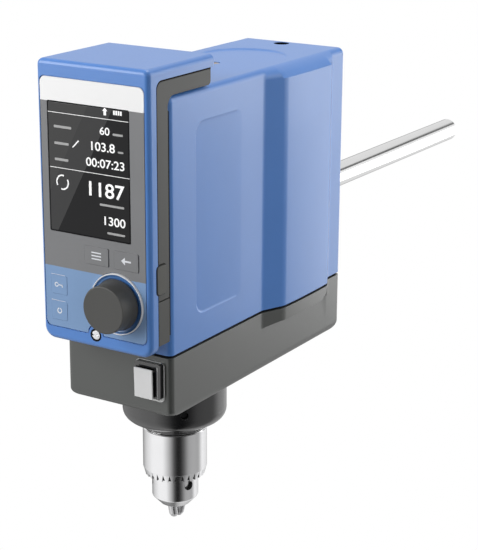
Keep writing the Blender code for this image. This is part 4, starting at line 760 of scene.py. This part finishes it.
# Black seal strips, partly a real seal and partly painted shade for the shadow in the gap behind the shell.
for side, near, far in (("left", -0.0366, -0.0340), ("right", 0.0340, 0.0366)):
    strip = block((near, far, 0.0135, 0.1400), 0.0008, SHELL_BACK - 0.0003, HOUSING_FRONT - 0.0001)
    trim(f"shell_seal_{side}", strip, seal_black, "head", edge=0.0002)
battery_side = bend([
    (SHELL_FRONT, 0.0105, 0.0004), (SHELL_FRONT, BATTERY_LINE - JOINT_HALF, 0),
    (SHELL_BACK, BATTERY_LINE - JOINT_HALF, 0), (SHELL_BACK, 0.0105, 0.0010),
])
battery_cover = stand("battery_cover_grey", sideways(battery_side, -SHELL_HALF, SHELL_HALF))
carve(battery_cover, [
    block((-0.0330, 0.0330, 0.0170, BATTERY_LINE + PAST), 0.0003, SHELL_FRONT - PAST, SHELL_BACK - SHELL_WALL),
    bore(0.0023, SHELL_FRONT - PAST, SHELL_BACK + PAST, LOCK, 24),
])
settle(battery_cover, grey_shell, "head", edge=0.0007, crease=35, slot="shell_grey", node="battery_cover")

# Panel film, keys and their marks
# A printed film in the seat of the head's face: a bare white strip on top, mid grey round the display, and
# light blue round the knob. The four keys stand slightly proud of it, with wordless marks.
FILM_FACE = 0.0001
LABEL_LINE = 0.1416
COLOUR_LINE = 0.0483
KEY_GAP = 0.00008
KEY_PROUD = 0.00015
film = stand("panel_film_printed", backward(film_outline(-0.0002), FILM_FACE, FILM_FACE + 0.0005))
cutters = [block(DISPLAY, 0.0010, -PAST, 0.003), bore(0.0178, -PAST, 0.003, KNOB, 96)]
for left, right, low, high in KEYS.values():
    right_gap = 0.0006 if low > COLOUR_LINE else 0.00012
    opening = (left - KEY_GAP, right + right_gap, low - KEY_GAP, high + KEY_GAP)
    cutters.append(block(opening, 0.0009, -PAST, 0.003))
carve(film, cutters)
film_white = coat("film_white", (0.96, 0.96, 0.96), 0.35, grain=0.0005, depth=0.004, vary=0.01)
film_grey = coat("film_grey", (0.215, 0.218, 0.225), 0.38, grain=0.0005, depth=0.006, vary=0.02)
film_blue = coat("film_blue", (0.225, 0.355, 0.580), 0.33, grain=0.0005, depth=0.006, vary=0.02)
form = bmesh.new()
form.from_mesh(film.data)
for line in (LABEL_LINE, COLOUR_LINE):
    whole_form = form.verts[:] + form.edges[:] + form.faces[:]
    bmesh.ops.bisect_plane(form, geom=whole_form, plane_co=(0, 0, line), plane_no=(0, 0, 1))
for patch in form.faces:
    height = patch.calc_center_median().z
    patch.material_index = 0 if height > LABEL_LINE else 1 if height > COLOUR_LINE else 2
form.to_mesh(film.data)
form.free()
for printed in (film_white, film_grey, film_blue):
    film.data.materials.append(printed)
settle(film, None, "head", slot="panel_film", node="front_panel")
for name, area in KEYS.items():
    key = stand(f"{name}_cap", block(area, 0.0008, FILM_FACE - KEY_PROUD, FILM_FACE + 0.0022))
    printed = film_grey if area[2] > COLOUR_LINE else film_blue
    settle(key, printed, name, edge=0.00018, segments=3, slot="panel_film", node=name)

# Display
# A dark glass over the screen, flush with the film, in a thin black seal. The screen shows plain figures, two
# thin rules, a turning mark and a battery mark, and the glass's colour carries a painted reflection: the
# slanting gleam of a window.
display_glass, tree, shader = painted("display_glass")
place = node(tree, "TexCoord")
slant = node(tree, "Mapping", Rotation=(0, math.radians(-28.1), 0))
split = node(tree, "SeparateXYZ")
band = node(tree, "MapRange", From_Min=-0.06, From_Max=0.06)
# Painted reflection: lighter bands in the glass's colour, slanting across it like the gleam of a window.
gleam = ramp(tree, ((0, (0.060, 0.060, 0.060)), (0.11, (0.050, 0.050, 0.051)), (0.233, (0.010, 0.010, 0.011))))
gleam.color_ramp.interpolation = "CONSTANT"
smear = node(tree, "TexNoise", Scale=120.0)
polish = node(tree, "MapRange", To_Min=0.10, To_Max=0.18)
shader.inputs["Specular IOR Level"].default_value = 0.2
connect(tree, (place, "Object", slant, "Vector"), (slant, "Vector", split, "Vector"),
        (split, "X", band, "Value"), (band, "Result", gleam, "Fac"), (gleam, "Color", shader, "Base Color"),
        (place, "Object", smear, "Vector"), (smear, "Fac", polish, "Value"),
        (polish, "Result", shader, "Roughness"))
window_seal = stand("window_seal_black", block(DISPLAY, 0.0010, FILM_FACE + 0.0001, FILM_FACE + 0.0021,
                                               margin=-0.00005))
carve(window_seal, [block(DISPLAY, 0.0007, FILM_FACE - 0.001, FILM_FACE + 0.003, margin=-0.0007)])
settle(window_seal, seal_black, "head", slot="trim_black")
glass = stand("display_window", block(DISPLAY, 0.0007, FILM_FACE, FILM_FACE + 0.0022, margin=-0.00075))
settle(glass, display_glass, "head", edge=0.0002, slot="display", node="display_glass")
lit = coat("lit_figures", (0.90, 0.90, 0.90), 0.40, grain=0.0004, depth=0.001, vary=0.01)
lit.node_tree.nodes["Principled BSDF"].inputs["Emission Color"].default_value = (1, 1, 1, 1)
lit.node_tree.nodes["Principled BSDF"].inputs["Emission Strength"].default_value = 0.25
dim = coat("dim_marks", (0.42, 0.42, 0.42), 0.40, grain=0.0004, depth=0.001, vary=0.01)
ICON_FRONT = FILM_FACE - 0.00006
figures = []


def figure(text, right, low, high, stretch=1.15):
    """Upright figures with their right edge, foot and head at given places."""
    curve = bpy.data.curves.new("figure", "FONT")
    curve.body = text
    curve.extrude = 0.00004
    curve.align_x = "RIGHT"
    curve.offset = 0.012
    piece = placed("figure", curve)
    view = bpy.context.evaluated_depsgraph_get()
    mesh = bpy.data.meshes.new_from_object(piece.evaluated_get(view))
    bpy.data.objects.remove(piece)
    heights = [v.co.y for v in mesh.vertices]
    rights = [v.co.x for v in mesh.vertices]
    size = (high - low) / (max(heights) - min(heights))
    for v in mesh.vertices:
        x, y, z = v.co
        v.co = ((x - max(rights)) * size * stretch + right, ICON_FRONT - z, (y - min(heights)) * size + low)
    form = bmesh.new()
    form.from_mesh(mesh)
    bmesh.ops.remove_doubles(form, verts=form.verts, dist=1e-8)
    bmesh.ops.recalc_face_normals(form, faces=form.faces)
    bpy.data.meshes.remove(mesh)
    figures.append(stand("figure", form))


def plate(outline, at=(0.0, 0.0)):
    """Thin printed patch on the display."""
    figures.append(stand("figure", backward(outline, ICON_FRONT, ICON_FRONT + 0.0001, at)))


def bow(centre, inner, outer, start, end, steps=16):
    """Outline of part of a ring, from one angle to another in degrees."""
    points = []
    for radius, first, last in ((outer, start, end), (inner, end, start)):
        for step in range(steps + 1):
            turned_by = math.radians(first + (last - first) * step / steps)
            points.append((centre[0] + radius * math.cos(turned_by), centre[1] + radius * math.sin(turned_by)))
    return points


figure("60", 0.0116, 0.1268, 0.1311)
figure("103.8", 0.0149, 0.1176, 0.1225)
figure("00:07:23", 0.0210, 0.1086, 0.1134)
figure("1187", 0.0208, 0.0922, 0.1004)
figure("1300", 0.0211, 0.0771, 0.0820)
plate([(-0.0296, 0.13545), (0.0239, 0.13545), (0.0239, 0.13575), (-0.0296, 0.13575)])
plate([(-0.0292, 0.10485), (0.0242, 0.10485), (0.0242, 0.10515), (-0.0292, 0.10515)])
for start in (75, 255):
    plate(bow((-0.0209, 0.0971), 0.0035, 0.0043, start, start + 135))
plate([(0.0070, 0.1399), (0.0087, 0.1417), (0.0104, 0.1399), (0.0095, 0.1399), (0.0095, 0.1376),
       (0.0079, 0.1376), (0.0079, 0.1399)])
for i in range(4):
    left = 0.0142 + i * 0.0015
    plate([(left, 0.1385), (left + 0.0011, 0.1385), (left + 0.0011, 0.1408), (left, 0.1408)])
plate([(-0.0137, 0.1176), (-0.0131, 0.1174), (-0.0089, 0.1214), (-0.0095, 0.1219)])


def gathered(name, material, body):
    """Join the figures that are ready into one piece."""
    whole = figures[0]
    chosen = {"active_object": whole, "selected_editable_objects": figures, "selected_objects": figures}
    with bpy.context.temp_override(**chosen):
        bpy.ops.object.join()
    whole.name = name
    figures.clear()
    settle(whole, material, body, slot="white")


gathered("display_figures", lit, "head")
for area in (
    (-0.0259, -0.0140, 0.1272, 0.1286), (-0.0258, -0.0160, 0.1180, 0.1194), (-0.0258, -0.0165, 0.1090, 0.1104),
    (0.0042, 0.0204, 0.0876, 0.0888), (0.0089, 0.0207, 0.0722, 0.0734), (0.0136, 0.0203, 0.1272, 0.1284),
    (0.0168, 0.0205, 0.1180, 0.1190),
):
    plate(box_outline(*area, 0.0005, 3))
gathered("display_bars", dim, "head")

# Marks on the keys
# Thin printing in white: a list mark and a back arrow on the upper keys, a key mark and a start mark on the
# lower ones, and a pale line on the film above each lower key.
ICON_FRONT = FILM_FACE - KEY_PROUD - 0.00004
mark_white = coat("mark_white", (0.80, 0.82, 0.86), 0.40, grain=0.0004, depth=0.001, vary=0.01)
for i in range(3):
    plate(box_outline(-0.0022, 0.0044, 0.0564 + i * 0.0018, 0.0571 + i * 0.0018, 0.0003, 3))
gathered("menu_mark", mark_white, "menu_key")
plate([(0.0178, 0.0586), (0.0204, 0.0608), (0.0204, 0.0591), (0.0244, 0.0591), (0.0244, 0.0581),
       (0.0204, 0.0581), (0.0204, 0.0564)])
gathered("back_mark", mark_white, "back_key")
plate(bow((-0.0270, 0.0376), 0.0008, 0.0014, 20, 340))
plate(box_outline(-0.0258, -0.0228, 0.0373, 0.0379, 0.0002, 3))
plate(box_outline(-0.0234, -0.0228, 0.0363, 0.0376, 0.0002, 3))
gathered("lock_mark", mark_white, "lock_key")
for left, right, low, high in (KEYS["lock_key"], KEYS["power_key"]):
    plate(box_outline(left, right - 0.0012, high + 0.0003, high + 0.0005, 0.0001, 2))
gathered("key_top_lines", mark_white, "head")
plate(bow((-0.0254, 0.0224), 0.0011, 0.0017, 100, 440))
gathered("power_mark", mark_white, "power_key")

# Knob and its ring
# A turned-looking moulding in soft-touch dark grey on the encoder's shaft, with a fine raised rim round its
# flat face. Round it lies a dished glossy blue ring with a thin white edge, set in the film.
knob_grey = coat("soft_touch_grey", (0.078, 0.078, 0.075), 0.46, grain=0.0004, depth=0.012)


def facing(profile, sides=96, at=KNOB):
    """Turn a profile of radius and depth in front of the face, round an axis that points to the front."""
    return skin([[(x + at[0], y, z + at[1]) for x, z in round_outline(radius, sides)]
                 for radius, y in profile], True)


knob_profile = [
    (0.0001, -0.01305), (0.0119, -0.01305), (0.0124, -0.01320), (0.0129, -0.01318), (0.0133, -0.01300),
    (0.0135, -0.01265), (0.0136, -0.0060), (0.0138, -0.0040), (0.0144, -0.0022), (0.0145, -0.0014),
    (0.0145, -0.0008), (0.0033, -0.0008), (0.0033, -0.0088), (0.0001, -0.0088),
]
knob = stand("knob_soft_touch", facing(knob_profile, 128))
settle(knob, knob_grey, "knob", slot="shell_grey", node="knob", crease=30)
ring_blue = coat("ring_blue_gloss", (0.075, 0.200, 0.480), 0.16, grain=0.0008, depth=0.003, vary=0.02,
                 clear=0.4)
dish_profile = [(0.0149, 0.0006), (0.0168, 0.0006), (0.0168, -0.00085), (0.0165, -0.00075), (0.0161, -0.00035),
                (0.0156, -0.00012), (0.0150, -0.00005), (0.0149, -0.00005)]
settle(stand("knob_dish_blue", facing(dish_profile, 128)), ring_blue, "head", slot="cover_blue", crease=40)
rim_profile = [(0.0168, 0.0006), (0.0175, 0.0006), (0.0175, -0.0008), (0.01735, -0.0010), (0.01695, -0.0010),
               (0.0168, -0.0009)]
white_gloss = coat("white_gloss", (0.90, 0.91, 0.93), 0.30, grain=0.0005, depth=0.003, vary=0.01, clear=0.2)
rim = stand("knob_rim_white", facing(rim_profile, 128))
settle(rim, white_gloss, "head", slot="white", node="knob_ring", crease=40)

# Lock screw
# A white moulded screw with a thin slot, flush in a round seat at the bottom of the head, with a black washer
# round it. A quarter turn locks the head to the housing.
lock_profile = [(0.0001, 0.0), (0.0024, 0.0), (0.0026, 0.0001), (0.0027, 0.0004), (0.0027, 0.0012),
                (0.0020, 0.0012), (0.0020, 0.0255), (0.0001, 0.0255)]
lock = stand("lock_screw_white", facing(lock_profile, 64, LOCK))
carve(lock, [backward(box_outline(-0.0050, 0.0050, -0.00045, 0.00045, 0.0001, 2), -PAST, 0.0008, LOCK)])
settle(lock, white_gloss, "lock_screw", slot="white", node="lock_screw")
washer_profile = [(0.0028, -0.0001), (0.0036, -0.0002), (0.0036, 0.0012), (0.0028, 0.0012)]
trim("lock_washer_black", facing(washer_profile, 64, LOCK), seal_black, "head")

# Finishes of the pieces that keep their shape
# Boards, screws, cap, flap, sockets and all that the housing holds: turned, stamped or moulded parts whose
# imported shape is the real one. Each gets the finish of what it is made of.
aluminium = coat("turned_aluminium", (0.62, 0.63, 0.64), 0.32, metallic=1.0, grain=0.0006, depth=0.008)
brass = coat("tan_screw_head", (0.42, 0.33, 0.20), 0.35, metallic=0.6, grain=0.0004, depth=0.006)
rubber = coat("rubber", (0.028, 0.028, 0.028), 0.70, grain=0.0003, depth=0.02)
flap_grey = coat("soft_flap_grey", (0.085, 0.085, 0.078), 0.52, grain=0.0003, depth=0.014)
green_board = coat("green_board", (0.020, 0.130, 0.050), 0.45, grain=0.0012, depth=0.03, vary=0.12)
socket_black = coat("socket_black", (0.016, 0.016, 0.017), 0.38, grain=0.0004, depth=0.012)
for material, names in (
    (aluminium, ("spindle_tube", "chassis", "spindle_pulley", "motor_can", "motor_pulley", "rod_clamp")),
    (ground_steel, ("lower_bearing", "upper_bearing", "spindle", "motor_shaft", "rod_screw", "chuck_nut",
                    "data_socket", "display_module", "knob_shaft", "push_plunger")),
    (brass, ("cover_screw",)),
    (rubber, ("drive_belt",)),
    (flap_grey, ("socket_flap", "shaft_cap")),
    (green_board, ("control_board", "power_supply", "key_board", "main_board")),
    (socket_black, ("collar_screw", "mains_inlet", "contact_strip", "battery", "encoder")),
):
    for name in names:
        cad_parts[name].data.materials.clear()
        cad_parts[name].data.materials.append(material)

# Studio
# A grey floor well below the hanging stirrer, soft lamps in front on the left, behind and above, a fill on the
# right, and a white room whose near right side is dark, which gives metal its dark stripe.
FLOOR_HALF = 6
FLOOR_Z = -0.62
ROOM_ROUND = (
    (-180, 0.90), (-171, 0.76), (-152, 0.40), (-139, 0.12), (-90, 0.72), (-55, 1.0), (-10, 1.0), (15, 0.45),
    (30, 0.08), (42, 0.01), (55, 0.02), (68, 0.12), (85, 0.40), (105, 0.45), (128, 0.40), (148, 1.0),
    (180, 0.80),
)
ROOM_ABOVE = ((-1.0, 1.0), (0.355, 1.0), (0.375, 0.12), (0.445, 0.12), (0.475, 0.85), (1.0, 0.90))


def mix(tree, **values):
    """Node that mixes two colours, of which one may be given as a level of grey."""
    made = node(tree, "Mix")
    made.data_type = "RGBA"
    for name, level in values.items():
        made.inputs[name].default_value = (level, level, level, 1)
    return made


floor_mesh = bpy.data.meshes.new("floor")
corners = [(x * FLOOR_HALF, y * FLOOR_HALF, FLOOR_Z) for x, y in ((-1, -1), (1, -1), (1, 1), (-1, 1))]
floor_mesh.from_pydata(corners, [], [(0, 1, 2, 3)])
floor = placed("floor", floor_mesh)
floor_paint, tree, shader = painted("floor_paint")
shader.inputs["Base Color"].default_value = (0.30, 0.30, 0.30, 1)
shader.inputs["Roughness"].default_value = 0.9
rays = node(tree, "LightPath")
either = reckon(tree, "MAXIMUM")
glow = node(tree, "Emission", Strength=1.0)
blend = node(tree, "MixShader")
connect(tree, (rays, "Is Camera Ray", either, 0), (rays, "Is Glossy Ray", either, 1),
        (either, 0, blend, "Fac"), (shader, "BSDF", blend, 1), (glow, "Emission", blend, 2),
        (blend, "Shader", tree.nodes["Material Output"], "Surface"))
floor_mesh.materials.append(floor_paint)
floor.visible_glossy = False
floor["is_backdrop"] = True

world = bpy.data.worlds.new("studio")
bpy.context.scene.world = world
world.use_nodes = True
tree = world.node_tree
room = tree.nodes["Background"]
room.inputs["Strength"].default_value = 1.0
rays = node(tree, "LightPath")
seen = reckon(tree, "MAXIMUM")
direction = node(tree, "TexCoord")
parts = node(tree, "SeparateXYZ")
to_front = reckon(tree, "MULTIPLY", -1.0)
bearing = reckon(tree, "ARCTAN2")
around = node(tree, "MapRange", From_Min=-math.pi, From_Max=math.pi)
flag = ramp(tree, [((degrees + 180) / 360, [level] * 3) for degrees, level in ROOM_ROUND])
soft = mix(tree, A=0.15)
strip = ramp(tree, [((height + 1) / 2, [level] * 3) for height, level in ROOM_ABOVE])
lift = node(tree, "MapRange", From_Min=-1.0)
rightward = node(tree, "MapRange", From_Max=0.2)
sky = mix(tree, A=0.85)
climb = node(tree, "MapRange", From_Min=0.02, From_Max=0.14)
blended = mix(tree)
whole = mix(tree, B=1)
connect(tree, (rays, "Is Camera Ray", seen, 0), (rays, "Is Transmission Ray", seen, 1),
        (direction, "Generated", parts, "Vector"), (parts, "Y", to_front, 0), (parts, "X", bearing, 0),
        (to_front, 0, bearing, 1), (bearing, 0, around, "Value"), (around, "Result", flag, "Fac"),
        (rays, "Is Glossy Ray", soft, "Factor"), (parts, "Z", lift, "Value"), (lift, "Result", strip, "Fac"),
        (parts, "X", rightward, "Value"), (rightward, "Result", sky, "Factor"), (strip, "Color", sky, "B"),
        (parts, "Z", climb, "Value"), (climb, "Result", blended, "Factor"),
        (flag, "Color", blended, "A"), (sky, "Result", blended, "B"),
        (blended, "Result", soft, "B"), (seen, 0, whole, "Factor"), (soft, "Result", whole, "A"),
        (whole, "Result", room, "Color"))

middle = Vector((0, -0.22, 0.02))
for name, turn_by, rise, away, size, power in (
    ("lamp_front_left", -38, 18, 1.3, 0.9, 15.0),
    ("fill_right", 62, 8, 1.1, 0.9, 2.6),
    ("lamp_back_right", 130, 12, 0.9, 0.7, 3.1),
    ("lamp_behind", 156, -8, 0.9, 0.5, 1.3),
    ("lamp_above", 170, 74, 1.2, 0.9, 9.5),
):
    lamp_data = bpy.data.lights.new(name, "AREA")
    lamp_data.shape = "SQUARE"
    lamp_data.size = size
    lamp_data.energy = power
    lamp = placed(name, lamp_data)
    turned_by, risen = math.radians(turn_by), math.radians(rise)
    across = math.cos(risen)
    out = Vector((math.sin(turned_by) * across, -math.cos(turned_by) * across, math.sin(risen)))
    lamp.location = middle + out * away
    lamp.rotation_mode = "QUATERNION"
    lamp.rotation_quaternion = (-out).to_track_quat("-Z", "Y")
    lamp.visible_glossy = not name.startswith("fill")

# Camera
# It stands where the photograph was taken from: in front on the right, a little above the head.
camera_data = bpy.data.cameras.new("camera")
camera_data.sensor_width = 36.0
camera_data.lens = 106.7
camera_data.clip_end = 50.0
camera = placed("camera", camera_data)
camera.location = (0.5201, -1.0553, 0.2643)
camera.rotation_mode = "QUATERNION"
swing = Matrix.Rotation(math.radians(32.01), 3, "Z")
tilt = Matrix.Rotation(math.radians(72.80), 3, "X")
roll = Matrix.Rotation(math.radians(0.29), 3, "Z")
camera.rotation_quaternion = (swing @ tilt @ roll).to_quaternion()
bpy.context.scene.camera = camera
bpy.context.scene.view_settings.view_transform = "Standard"

low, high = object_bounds()
